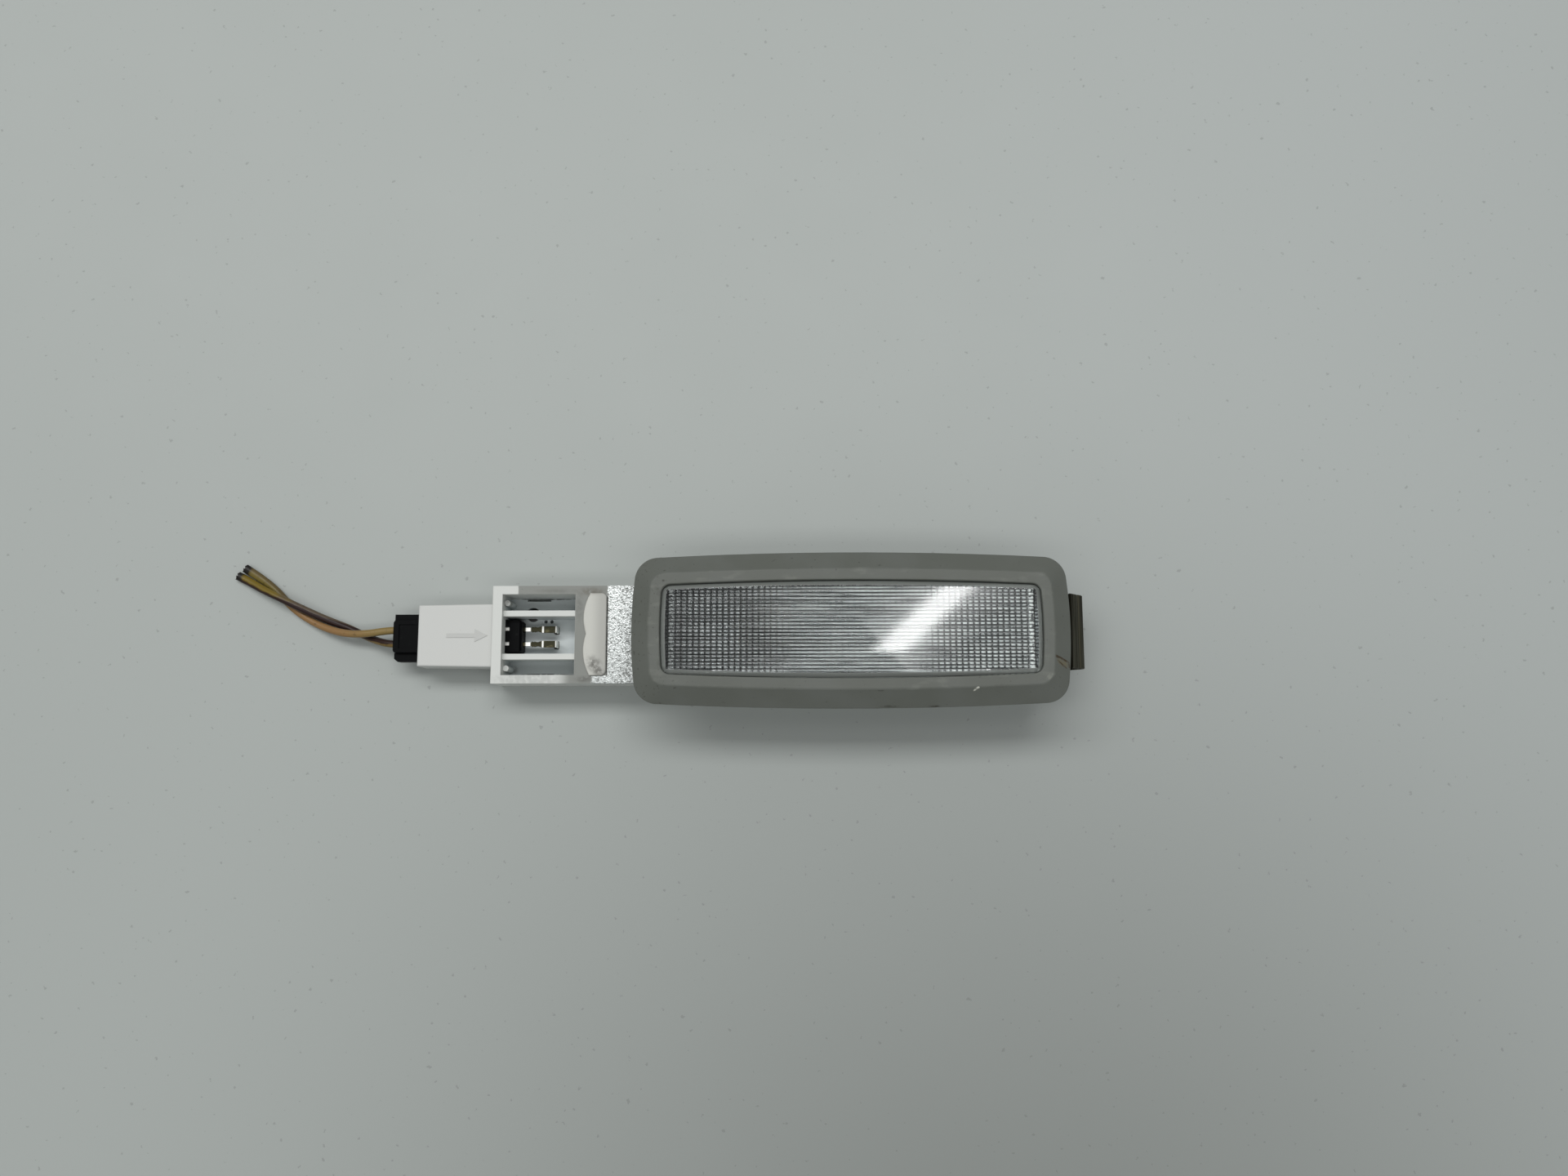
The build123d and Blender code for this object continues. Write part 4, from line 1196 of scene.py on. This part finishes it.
@dataclass
class Studio:
    """Camera, floor, sky and lamps.

    Attributes:
        camera_place: Where the camera stands.
        camera_tilt: Tilt from straight down, in degrees.
        camera_roll: Roll, in degrees.
        lens: Focal length on a sensor of sensor_width, both in millimetres.
        clip_start: Distance from which the camera sees.
        floor_half: Half length of the floor.
        sky: Colour of the even light all round.
        sky_strength: Strength of that light.
        panels: Ceiling panels.
        tube_start: End of the ceiling tube that the lens mirrors.
        tube_turn: Its turn about Z, in degrees.
        tube_length: Its length.
        tube_strip: Width of the strips that it is made of.
        tube_slant: How far a strip starts beyond the one beside it, in widths.
        tube_levels: Strength of the strips, from the tube's middle to its sides.
        tube_power: Power of a full strip, in watts.
        glow_widths: Widths of the faint lamps, one over another, that soften the tube's sides.
        glow_power: Power of each of them, in watts.
        layer_gap: Height between them, since a mirrored ray meets lamps at one height only once.
    """

    camera_place: Point = (-10.94, -19.41, 206.76)
    camera_tilt: float = 7.81
    camera_roll: float = -0.158
    lens: float = 27.04
    sensor_width: float = 36.0
    clip_start: float = 5.0
    floor_half: float = 3000.0
    sky: Colour = (0.97, 1.0, 0.99)
    sky_strength: float = 0.3
    panels: tuple[Panel, ...] = (
        Panel("panel_far", (-260.0, 430.0, 900.0), 1200.0, 280.0, 6.7),
        Panel("panel_near", (0.0, -330.0, 900.0), 1300.0, 220.0, 2.1),
    )
    tube_start: Point = (58.2, 44.6, 600.0)
    tube_turn: float = 42.5
    tube_length: float = 150.0
    tube_strip: float = 2.2
    tube_slant: float = -1.1
    tube_levels: tuple[float, ...] = (1.0, 1.0, 0.82, 0.42, 0.15)
    tube_power: float = 0.015
    glow_widths: tuple[float, ...] = (24.0, 31.0, 38.0, 45.0, 52.0, 59.0, 66.0)
    glow_power: float = 0.009
    layer_gap: float = 0.5

    def build(self) -> None:
        """Make the camera, the floor, the sky and the lamps."""
        self.build_camera()
        self.build_floor()
        self.build_sky()
        self.build_lamps()

    def build_camera(self) -> None:
        """Stand the camera above the lamp, leaning a little towards it."""
        data = bpy.data.cameras.new("camera")
        data.lens = self.lens
        data.sensor_width = self.sensor_width
        data.clip_start = self.clip_start * MM
        camera = bpy.data.objects.new("camera", data)
        tilt = Matrix.Rotation(math.radians(self.camera_tilt), 4, "X")
        roll = Matrix.Rotation(math.radians(self.camera_roll), 4, "Z")
        place = Matrix.Translation([value * MM for value in self.camera_place])
        camera.matrix_world = place @ tilt @ roll
        bpy.context.scene.collection.objects.link(camera)
        bpy.context.scene.camera = camera

    def build_floor(self) -> None:
        """Lay a plain square floor under the lamp."""
        half = self.floor_half
        corners = np.array([[-half, -half, 0], [half, -half, 0], [half, half, 0], [-half, half, 0]])
        mesh = bpy.data.meshes.new("floor")
        mesh.from_pydata((corners * MM).tolist(), [], [[0, 1, 2, 3]])
        floor = bpy.data.objects.new("floor", mesh)
        bpy.context.scene.collection.objects.link(floor)
        dress(floor, PaleFloor().material())

    def build_sky(self) -> None:
        """Set an even pale light all round."""
        world = bpy.data.worlds.new("sky")
        world.use_nodes = True
        background = world.node_tree.nodes["Background"]
        background.inputs["Color"].default_value = (*self.sky, 1.0)
        background.inputs["Strength"].default_value = self.sky_strength
        bpy.context.scene.world = world

    def build_lamps(self) -> None:
        """Hang two broad panels, one to each side of overhead, and the tube that the lens mirrors.

        The tube's strips lie side by side at one height, each starting by the slant beyond the one before it.
        """
        for panel in self.panels:
            made = self.lamp(panel.name, panel.length, panel.width, panel.power)
            made.matrix_world = Matrix.Translation([value * MM for value in panel.place])
        turn = Matrix.Rotation(math.radians(self.tube_turn), 4, "Z")
        end = Matrix.Translation([value * MM for value in self.tube_start]) @ turn
        half = self.tube_length / 2
        levels = [*self.tube_levels[::-1], *self.tube_levels]
        for index, level in enumerate(levels):
            side = (index - (len(levels) - 1) / 2) * self.tube_strip
            made = self.lamp("ceiling_tube", self.tube_length, self.tube_strip, self.tube_power * level)
            along = half + self.tube_slant * side
            made.matrix_world = end @ Matrix.Translation((along * MM, side * MM, 0.0))
        for index, width in enumerate(self.glow_widths):
            made = self.lamp("ceiling_glow", self.tube_length, width, self.glow_power)
            made.matrix_world = end @ Matrix.Translation((half * MM, 0.0, (index + 1) * self.layer_gap * MM))

    def lamp(self, name: str, length: float, width: float, power: float) -> bpy.types.Object:
        """Make a rectangular lamp that shines down.

        Args:
            name: Name of the lamp.
            length: Size along its X.
            width: Size along its Y.
            power: Power in watts.

        Returns:
            The lamp object.
        """
        data = bpy.data.lights.new(name, "AREA")
        data.shape = "RECTANGLE"
        data.size = length * MM
        data.size_y = width * MM
        data.energy = power
        made = bpy.data.objects.new(name, data)
        bpy.context.scene.collection.objects.link(made)
        return made


@dataclass
class FlutedLens:
    """Clear lens with a rounded edge and crossed flutes inside.

    Attributes:
        length: Length of the part that shows.
        width: Width of the part that shows.
        corner: Radius of its corners.
        bevel: Width and drop of the bevel along its upper edge.
        flange_top: Height of the flange's upper face.
        flange_corner: Radius of the flange's corners.
        end_margin: Plain lens beyond the flutes at each end.
        bead: Width of the beads that end the flutes.
        bead_depth: Depth of a bead.
        side_margin: Plain lens beyond the flutes at each side.
        plate: Lens face to the tips of the flutes.
        flutes: Flutes across the lens.
        flute_depth: Depth of a flute.
        cross_flutes: Flutes along the lens.
        cross_depth: Depth of a cross flute in the middle and at the ends.
        cross_zone: Distances from the middle over which that depth grows.
        fine: Grid steps over one flute.
    """

    length: float = 62.1
    width: float = 15.8
    corner: float = 1.45
    bevel: Pair = (0.75, 0.5)
    bevel_round: float = 0.06
    flange_top: float = 15.25
    flange_corner: float = 2.35
    end_margin: float = 1.1
    bead: float = 1.25
    bead_depth: float = 0.4
    bead_steps: int = 8
    side_margin: float = 0.8
    plate: float = 1.3
    flutes: int = 24
    flute_depth: float = 0.2
    cross_flutes: int = 59
    cross_depth: Pair = (0.05, 0.1)
    cross_zone: Pair = (12.0, 18.0)
    fine: int = 6
    straight: float = 1.0e6  # bow radius of a straight side

    def underside(self, top: float) -> np.ndarray:
        """Fluted underside as a grid.

        Height is the level of the flutes' tips plus an arch for each flute across the lens, and another for
        each cross flute and end bead along it. An arch is one minus the square of the distance from its
        middle, in half widths.

        Args:
            top: Height of the lens face.

        Returns:
            Points in an array of columns along X by rows along Y by three.
        """

        def arches(count: int, steps: int) -> np.ndarray:
            """Arches side by side, from 0 at their ends to 1 in the middle."""
            return 1 - (2 * np.mod(np.arange(count * steps + 1) / steps, 1.0) - 1) ** 2

        half_x = self.length / 2 - self.end_margin
        half_y = self.width / 2 - self.side_margin
        bead_x = np.linspace(-half_x, self.bead - half_x, self.bead_steps + 1)
        cross_x = np.linspace(bead_x[-1], -bead_x[-1], self.cross_flutes * self.fine + 1)
        x = np.concatenate([bead_x[:-1], cross_x, -bead_x[-2::-1]])
        bead = self.bead_depth * arches(1, self.bead_steps)
        nearer_end = np.clip((np.abs(cross_x) - self.cross_zone[0]) / np.ptp(self.cross_zone), 0, 1)
        depth = self.cross_depth[0] + np.diff(self.cross_depth) * nearer_end
        cross = depth * arches(self.cross_flutes, self.fine)
        along = np.concatenate([bead[:-1], cross, bead[1:]])
        across = self.flute_depth * arches(self.flutes, self.fine)
        y = np.linspace(-half_y, half_y, len(across))
        height = top - self.plate + along[:, None] + across[None, :]
        return np.stack([*np.meshgrid(x, y, indexing="ij"), height], axis=-1)

    def build(self) -> bpy.types.Object:
        """Make the lens: rings from its face over the edge and flange to the recess, then the flutes.

        Returns:
            The lens.
        """
        low, high = (np.array(corner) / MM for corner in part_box("lens"))
        bottom, top = low[2], high[2]
        flutes = self.underside(top)
        columns, rows = flutes.shape[:2]
        steps = (columns - 1, rows - 1)
        shown = BowedOutline(self.length, self.width, self.corner)
        flange = BowedOutline(
            high[0] - low[0], high[1] - low[1], self.flange_corner, self.straight, self.straight
        )
        edge = np.concatenate([flutes[:-1, 0], flutes[-1, :-1], flutes[:0:-1, -1], flutes[0, :0:-1]])
        across, drop = self.bevel
        soft, slope = self.bevel_round, drop / across
        profile = (
            (across + 2 * soft, 0.0),
            (across + soft, 0.0),
            (across - soft, soft * slope),
            (soft, drop - soft * slope),
            (0.0, drop + soft),
        )
        rings = [(shown.loop(inset, *steps), top - fall) for inset, fall in profile]
        rings += [(shown.loop(0.0, *steps), self.flange_top)]
        rings += [(flange.loop(0.0, *steps), self.flange_top), (flange.loop(0.0, *steps), bottom)]
        rings += [(edge[:, :2], bottom)]
        count = len(edge)
        skin = [np.column_stack([points, np.full(count, height)]) for points, height in rings]
        skin.append(edge)
        inner = np.arange(columns * rows).reshape(columns, rows) + count * len(skin)
        border = np.concatenate([inner[:-1, 0], inner[-1, :-1], inner[:0:-1, -1], inner[0, :0:-1]])
        faces = grid_faces(len(skin), count, closed=True)
        last = np.arange(count) + count * (len(skin) - 1)
        swap = dict(zip(last.tolist(), border.tolist()))
        faces = [[swap.get(index, index) for index in face] for face in faces]
        faces += grid_faces(columns, rows, first=count * len(skin))
        faces.append(list(range(count)))
        vertices = np.concatenate([*skin, flutes.reshape(-1, 3)])
        lens = make_piece("fluted_lens", vertices, faces, crease=30.0)
        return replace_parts(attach(lens, Body.LAMP.value), "lens")

    def dress(self, lens: bpy.types.Object) -> None:
        """Give the lens its clear plastic."""
        dress(lens, ClearPlastic().material())


@dataclass
class Wire:
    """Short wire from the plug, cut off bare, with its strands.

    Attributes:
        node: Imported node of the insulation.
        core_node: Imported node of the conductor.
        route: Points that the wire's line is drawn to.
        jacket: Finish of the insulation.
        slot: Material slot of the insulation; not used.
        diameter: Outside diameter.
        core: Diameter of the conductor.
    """

    ATTRIBUTE = "jacket"

    node: str
    core_node: str
    slot: str
    route: tuple[Point, ...]
    jacket: WireJacket
    diameter: float = 1.3
    core: float = 0.78
    pinch: float = 0.3  # widening of the cut end
    pinch_length: float = 9.0
    pinch_thin: float = 0.09  # share of its radius that the cut end loses
    uneven: Pair = (0.985, 0.012)  # mean radius and swing, as shares of the full one
    bore_gap: float = 0.03
    bore_depth: float = 0.9
    lip_share: float = 0.6  # of the cut's raggedness, round the bore
    spacing: float = 0.2
    sides: int = 28
    strands: int = 7
    strand_lay: float = 14.0
    strand_sides: int = 8
    strand_gap: float = 0.97  # share of a strand's room that it fills
    fray: float = 0.28
    fray_length: float = 1.0
    fray_open: float = 0.4

    def centre_line(self) -> np.ndarray:
        """Smooth line of the wire: a NURBS spline with the route's points as its control points.

        Returns:
            Points evenly spaced along it.
        """
        curve = bpy.data.curves.new(f"{self.node}_line", "CURVE")
        curve.dimensions = "3D"
        spline = curve.splines.new("NURBS")
        spline.points.add(len(self.route) - 1)
        flat = [value for point in self.route for value in (*point, 1.0)]
        spline.points.foreach_set("co", flat)
        spline.order_u = 3
        spline.use_endpoint_u = True
        spline.resolution_u = 24
        holder = bpy.data.objects.new(curve.name, curve)
        bpy.context.scene.collection.objects.link(holder)
        bpy.context.view_layer.update()
        read = bpy.data.meshes.new_from_object(holder)
        points = np.empty(len(read.vertices) * 3)
        read.vertices.foreach_get("co", points)
        bpy.data.objects.remove(holder)
        bpy.data.curves.remove(curve)
        bpy.data.meshes.remove(read)
        line = points.reshape(-1, 3)
        length = np.linalg.norm(np.diff(line, axis=0), axis=1).sum()
        return resampled(line, int(length / self.spacing) + 1)

    def build_jacket(self, line: np.ndarray) -> bpy.types.Object:
        """Insulation: a tube along the line, pinched flat and ragged at the cut, with an open bore.

        Two slow waves along the line make its radius uneven, and two waves round it make the cut ragged.

        Args:
            line: Points of the wire's line.

        Returns:
            The insulation.
        """
        count = len(line)
        reach = np.arange(count) * self.spacing
        mean, swing = self.uneven
        radius = self.diameter / 2 * (mean + swing * np.sin(reach * 1.3) * np.sin(reach * 0.37 + 1.0))
        pinch = np.sin(np.clip(1 - (reach[-1] - reach) / self.pinch_length, 0, 1) * math.pi / 2) ** 2
        radius *= 1 - self.pinch_thin * pinch
        outer = tube_rings(line, radius, self.sides, 1 + self.pinch * pinch)
        angle = np.linspace(0, 2 * math.pi, self.sides, endpoint=False)
        ragged = 0.10 * np.sin(3 * angle + 0.7) + 0.07 * np.sin(7 * angle)
        forward = line[-1] - line[-2]
        forward /= np.linalg.norm(forward)
        outer[-1] += ragged[:, None] * forward
        bore = tube_rings(line, np.full(count, self.core / 2 + self.bore_gap), self.sides)
        lip = bore[-1] + self.lip_share * ragged[:, None] * forward
        deep = bore[-1 - int(self.bore_depth / self.spacing)]
        rings = np.concatenate([outer, lip[None], deep[None]])
        faces = grid_faces(len(rings), self.sides, closed=True)
        faces.append(list(range(self.sides)))
        faces.append(list(range(self.sides * (len(rings) - 1), self.sides * len(rings))))
        wire = make_piece(f"{self.node}_jacket", rings.reshape(-1, 3), faces)
        along = np.concatenate([reach, [reach[-1], reach[-1]]])
        values = np.empty((len(rings), self.sides, 3), np.float32)
        values[..., 0] = np.cos(angle)
        values[..., 1] = np.sin(angle)
        values[..., 2] = along[:, None]
        attribute = wire.data.attributes.new(self.ATTRIBUTE, "FLOAT_VECTOR", "POINT")
        attribute.data.foreach_set("vector", values.ravel())
        return wire

    def build_strands(self, line: np.ndarray) -> bpy.types.Object:
        """Conductor: one straight strand with the others wound round it, frayed at the cut.

        Args:
            line: Points of the wire's line.

        Returns:
            The strands.
        """
        reach = np.arange(len(line)) * self.spacing
        thick = self.core / 6
        side, lift = line_frames(line)
        forward = line[-1] - line[-2]
        forward /= np.linalg.norm(forward)
        opening = np.clip((reach - reach[-1]) / self.fray_length + 1, 0, 1)[:, None] ** 2
        vertices, faces = [], []
        for index in range(self.strands):
            turn = 2 * math.pi * (index / (self.strands - 1) + reach / self.strand_lay)[:, None]
            distance = 0.0 if index == self.strands - 1 else self.core / 3
            out = np.cos(turn) * side + np.sin(turn) * lift
            path = line + out * (distance + self.fray * self.fray_open * opening)
            path = path + opening * forward * self.fray * math.sin(2.1 * index + 0.4)
            rings = tube_rings(path, np.full(len(line), thick * self.strand_gap), self.strand_sides)
            first = len(vertices) * rings.shape[0] * self.strand_sides
            last = first + (len(line) - 1) * self.strand_sides
            faces += grid_faces(len(line), self.strand_sides, first, closed=True)
            faces += [list(range(first, first + self.strand_sides))]
            faces += [list(range(last, last + self.strand_sides))]
            vertices.append(rings.reshape(-1, 3))
        return make_piece(f"{self.core_node}_strands", np.concatenate(vertices), faces)

    def build(self) -> None:
        line = self.centre_line()
        wire = self.build_jacket(line)
        strands = self.build_strands(line)
        dress(wire, self.jacket.material())
        dress(strands, Metal("copper_strand", seen(120, 72, 42), seen(38, 28, 22), 0.4, 0.7).material())
        for made, node, slot in ((wire, self.node, self.slot), (strands, self.core_node, "copper")):
            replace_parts(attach(made, Body.PLUG.value), node)


def tan_wire() -> Wire:
    """Tan wire of the upper terminal."""
    jacket = WireJacket(
        "tan_jacket", seen(132, 112, 66), seen(138, 106, 68), seen(108, 95, 46), 34.0, seen(82, 68, 50),
        stripe_share=0.6, stripe_turn=(320.0, 165.0), stripe_span=(6.0, 24.0), stripe_edge=(0.4, 0.5),
    )
    route = (
        (-75.4, 1.27, 3.75),
        (-79.1, 1.27, 3.75),
        (-83.1, 0.62, 3.62),
        (-87.1, 0.70, 2.72),
        (-91.0, 1.75, 1.45),
        (-94.6, 3.45, 0.75),
        (-97.7, 5.65, 0.68),
        (-100.2, 8.35, 0.67),
        (-102.9, 10.55, 0.68),
        (-106.2, 12.60, 0.67),
    )
    return Wire("wire_tan", "conductor_tan", "wire_tan", route, jacket)


def dark_wire() -> Wire:
    """Tan wire with a broad dark brown stripe, of the lower terminal."""
    jacket = WireJacket(
        "dark_jacket", seen(112, 92, 50), seen(88, 76, 62), seen(112, 94, 30), 34.7, seen(38, 20, 19),
        stripe_share=0.97, stripe_turn=(150.0, 25.0), stripe_span=(2.0, 21.0), stripe_edge=(0.25, 0.62),
    )
    route = (
        (-75.4, -1.27, 3.75),
        (-78.7, -1.27, 3.75),
        (-81.8, -0.50, 2.50),
        (-84.6, 0.65, 1.40),
        (-87.4, 1.95, 0.95),
        (-90.4, 3.05, 1.05),
        (-93.4, 4.35, 1.55),
        (-96.6, 5.85, 2.25),
        (-99.7, 7.35, 2.22),
        (-102.7, 8.75, 1.50),
        (-105.4, 10.25, 0.82),
        (-107.4, 11.25, 0.67),
    )
    return Wire("wire_dark", "conductor_dark", "wire_dark", route, jacket)


@dataclass
class Bulb:
    """Festoon bulb with a wound filament."""

    turns: int = 26
    turn_steps: int = 14
    thread: float = 0.07
    sides: int = 6
    cap_nodes: tuple[str, ...] = ("bulb_cap_left", "bulb_cap_right")

    def build_filament(self) -> bpy.types.Object:
        """Filament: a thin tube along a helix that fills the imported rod.

        Returns:
            The filament.
        """
        low, high = (np.array(corner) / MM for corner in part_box("bulb_filament"))
        middle = (low + high) / 2
        radius = (high[2] - low[2]) / 2 - self.thread
        share = np.linspace(0, 1, self.turns * self.turn_steps + 1)
        angle = 2 * math.pi * self.turns * share
        centre = np.stack(
            [low[0] + share * (high[0] - low[0]), middle[1] + radius * np.cos(angle),
             middle[2] + radius * np.sin(angle)], axis=1,
        )
        out = np.stack([np.zeros_like(angle), np.cos(angle), np.sin(angle)], axis=1)
        axis = np.broadcast_to([1.0, 0.0, 0.0], out.shape)
        around = np.linspace(0, 2 * math.pi, self.sides, endpoint=False)[None, :, None]
        offsets = self.thread * (np.cos(around) * out[:, None] + np.sin(around) * axis[:, None])
        rings = centre[:, None] + offsets
        faces = grid_faces(len(rings), self.sides, closed=True)
        faces.append(list(range(self.sides)))
        faces.append(list(range(self.sides * (len(rings) - 1), self.sides * len(rings))))
        filament = make_piece("wound_filament", rings.reshape(-1, 3), faces)
        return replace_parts(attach(filament, Body.LAMP.value), "bulb_filament")

    def build(self, nodes: dict[str, bpy.types.Object]) -> None:
        """Make the filament and dress the bulb.

        Args:
            nodes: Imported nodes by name.
        """
        filament = self.build_filament()
        wire = Metal("bulb_wire", seen(120, 120, 118), seen(70, 68, 66), 0.35, 0.4).material()
        dress(filament, wire)
        dress(nodes["bulb_leads"], wire)
        dress(nodes["bulb_glass"], BulbGlass().material())
        cap = Metal("nickel_cap", seen(92, 91, 88), seen(76, 74, 68), 0.4, 0.35).material()
        for name in self.cap_nodes:
            dress(nodes[name], cap)


@dataclass
class Plug:
    """Plug body, its lock, terminals and sleeves, and the wires."""

    moulded: tuple[str, ...] = ("plug_housing", "plug_lock")
    terminals: tuple[str, ...] = ("terminal_upper", "terminal_lower")
    sleeves: tuple[str, ...] = ("terminal_sleeve_upper", "terminal_sleeve_lower")
    wires: list[Wire] = field(default_factory=lambda: [tan_wire(), dark_wire()])

    def build(self) -> None:
        """Make the wires."""
        for wire in self.wires:
            wire.build()

    def dress(self, nodes: dict[str, bpy.types.Object]) -> None:
        """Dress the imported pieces.

        Args:
            nodes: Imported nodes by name.
        """
        black = BlackMoulding().material()
        tin = Metal("tinned_terminal", seen(196, 192, 180), seen(120, 112, 92), 0.3, 0.4).material()
        steel = Metal("sleeve_steel", seen(244, 244, 240), seen(220, 218, 210), 0.5, 0.3).material()
        for names, material in ((self.moulded, black), (self.terminals, tin), (self.sleeves, steel)):
            for name in names:
                dress(nodes[name], material)


@dataclass
class SpringClip:
    """Bent spring strip with a crease pressed across its lip.

    Attributes:
        bends: Corners of the strip's middle line, X and Z, from its hook to the end of its lip.
        radii: Radius of each bend.
        thickness: Thickness of the strip.
        half_width: Half its width.
        crease_place: Distance of the crease from the end of the lip.
        crease_depth: Depth of the crease.
        crease_half: Half width of the crease.
        edge_round: Rounding of the strip's two sides.
    """

    bends: tuple[Pair, ...] = (
        (30.25, 3.8), (30.25, 2.3), (34.6, 2.3), (39.4, 9.4), (36.55, 12.4)
    )
    radii: tuple[float, ...] = (0.5, 0.9, 0.9)
    thickness: float = 0.5
    half_width: float = 6.2
    crease_place: float = 2.35
    crease_depth: float = 0.2
    crease_half: float = 0.22
    edge_round: float = 0.12
    spacing: float = 0.07
    arc_steps: int = 12

    def middle_line(self) -> np.ndarray:
        """Middle line of the strip: straight runs joined by arcs.

        Returns:
            Points evenly spaced along it, X and Z.
        """
        corners = np.array(self.bends)
        runs = [corners[:1]]
        for before, corner, after, radius in zip(corners, corners[1:], corners[2:], self.radii):
            arriving = (before - corner) / np.linalg.norm(before - corner)
            leaving = (after - corner) / np.linalg.norm(after - corner)
            half = math.acos(float(arriving @ leaving)) / 2
            inward = (arriving + leaving) / np.linalg.norm(arriving + leaving)
            centre = corner + inward * radius / math.sin(half)
            sweep = np.linspace(half - math.pi / 2, math.pi / 2 - half, self.arc_steps)[:, None]
            across = (leaving - arriving) / np.linalg.norm(leaving - arriving)
            runs.append(centre + radius * (np.sin(sweep) * across - np.cos(sweep) * inward))
        line = np.concatenate([*runs, corners[-1:]])
        length = np.linalg.norm(np.diff(line, axis=0), axis=1).sum()
        return resampled(line, int(length / self.spacing) + 1)

    def build(self) -> bpy.types.Object:
        """Make the clip: the middle line, thickened to both sides and carried along Y.

        The crease moves both faces inwards by a bell curve of the distance along the strip.

        Returns:
            The clip.
        """
        line = self.middle_line()
        forward = np.gradient(line, axis=0)
        forward /= np.linalg.norm(forward, axis=1, keepdims=True)
        inner = np.stack([-forward[:, 1], forward[:, 0]], axis=1)
        from_end = np.arange(len(line))[::-1] * self.spacing
        dent = self.crease_depth * np.exp(-(((from_end - self.crease_place) / self.crease_half) ** 2))
        middle = line + dent[:, None] * inner
        stations = np.array([-1, -1, 1, 1]) * self.half_width + np.array([0, 1, -1, 0]) * self.edge_round
        halves = np.array([-1, 0, 0, -1]) * self.edge_round + self.thickness / 2
        rings = []
        for y, half in zip(stations, halves):
            section = np.concatenate([middle + half * inner, (middle - half * inner)[::-1]])
            rings.append(np.stack([section[:, 0], np.full(len(section), y), section[:, 1]], axis=1))
        count = len(rings[0])
        faces = grid_faces(len(rings), count, closed=True)
        last = count * (len(rings) - 1)
        for first in (0, last):
            here = np.arange(count // 2 - 1)
            caps = np.stack([here, here + 1, count - 2 - here, count - 1 - here], axis=1)
            faces += (first + caps).tolist()
        clip = make_piece("creased_clip", np.concatenate(rings), faces)
        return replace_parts(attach(clip, Body.CLIP.value), "spring_clip")

    def dress(self, clip: bpy.types.Object) -> None:
        """Give the clip its blackened steel."""
        steel = Metal(
            "blackened_steel", seen(84, 82, 70), seen(56, 54, 44), 0.45, 0.55, streaks=(0.4, 14.0, 0.4)
        )
        dress(clip, steel.material())


@dataclass
class Lamp:
    """Housing, bezel and contacts."""

    strips: tuple[str, ...] = ("contact_strip_left", "contact_strip_right")
    # spans of tin and painted highlights on the contact pins: their tips, the start of their blades and their
    # bent ends
    tinned: tuple[Pair, ...] = ((-55.6, -54.75), (-52.75, -52.5), (-50.42, -50.2))

    def dress(self, nodes: dict[str, bpy.types.Object]) -> None:
        """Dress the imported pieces.

        Args:
            nodes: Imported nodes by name.
        """
        dress(nodes["bezel"], GreyMoulding().material())
        dress(nodes["housing"], HousingFinish().material())
        brass = Metal("tarnished_brass", seen(106, 101, 76), seen(56, 55, 43), 0.36, 0.75, self.tinned)
        for name in self.strips:
            dress(nodes[name], brass.material())


def main() -> None:
    """Build the lamp's looks in order."""
    logging.basicConfig(level=logging.INFO, format="%(message)s")
    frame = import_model()
    nodes = frame["nodes"]
    bpy.context.scene.view_settings.view_transform = "Standard"
    Studio().build()
    plug = Plug()
    plug.build()
    plug.dress(nodes)
    lens = FlutedLens()
    lens.dress(lens.build())
    Bulb().build(nodes)
    clip = SpringClip()
    clip.dress(clip.build())
    Lamp().dress(nodes)


if __name__ == "__main__":
    main()
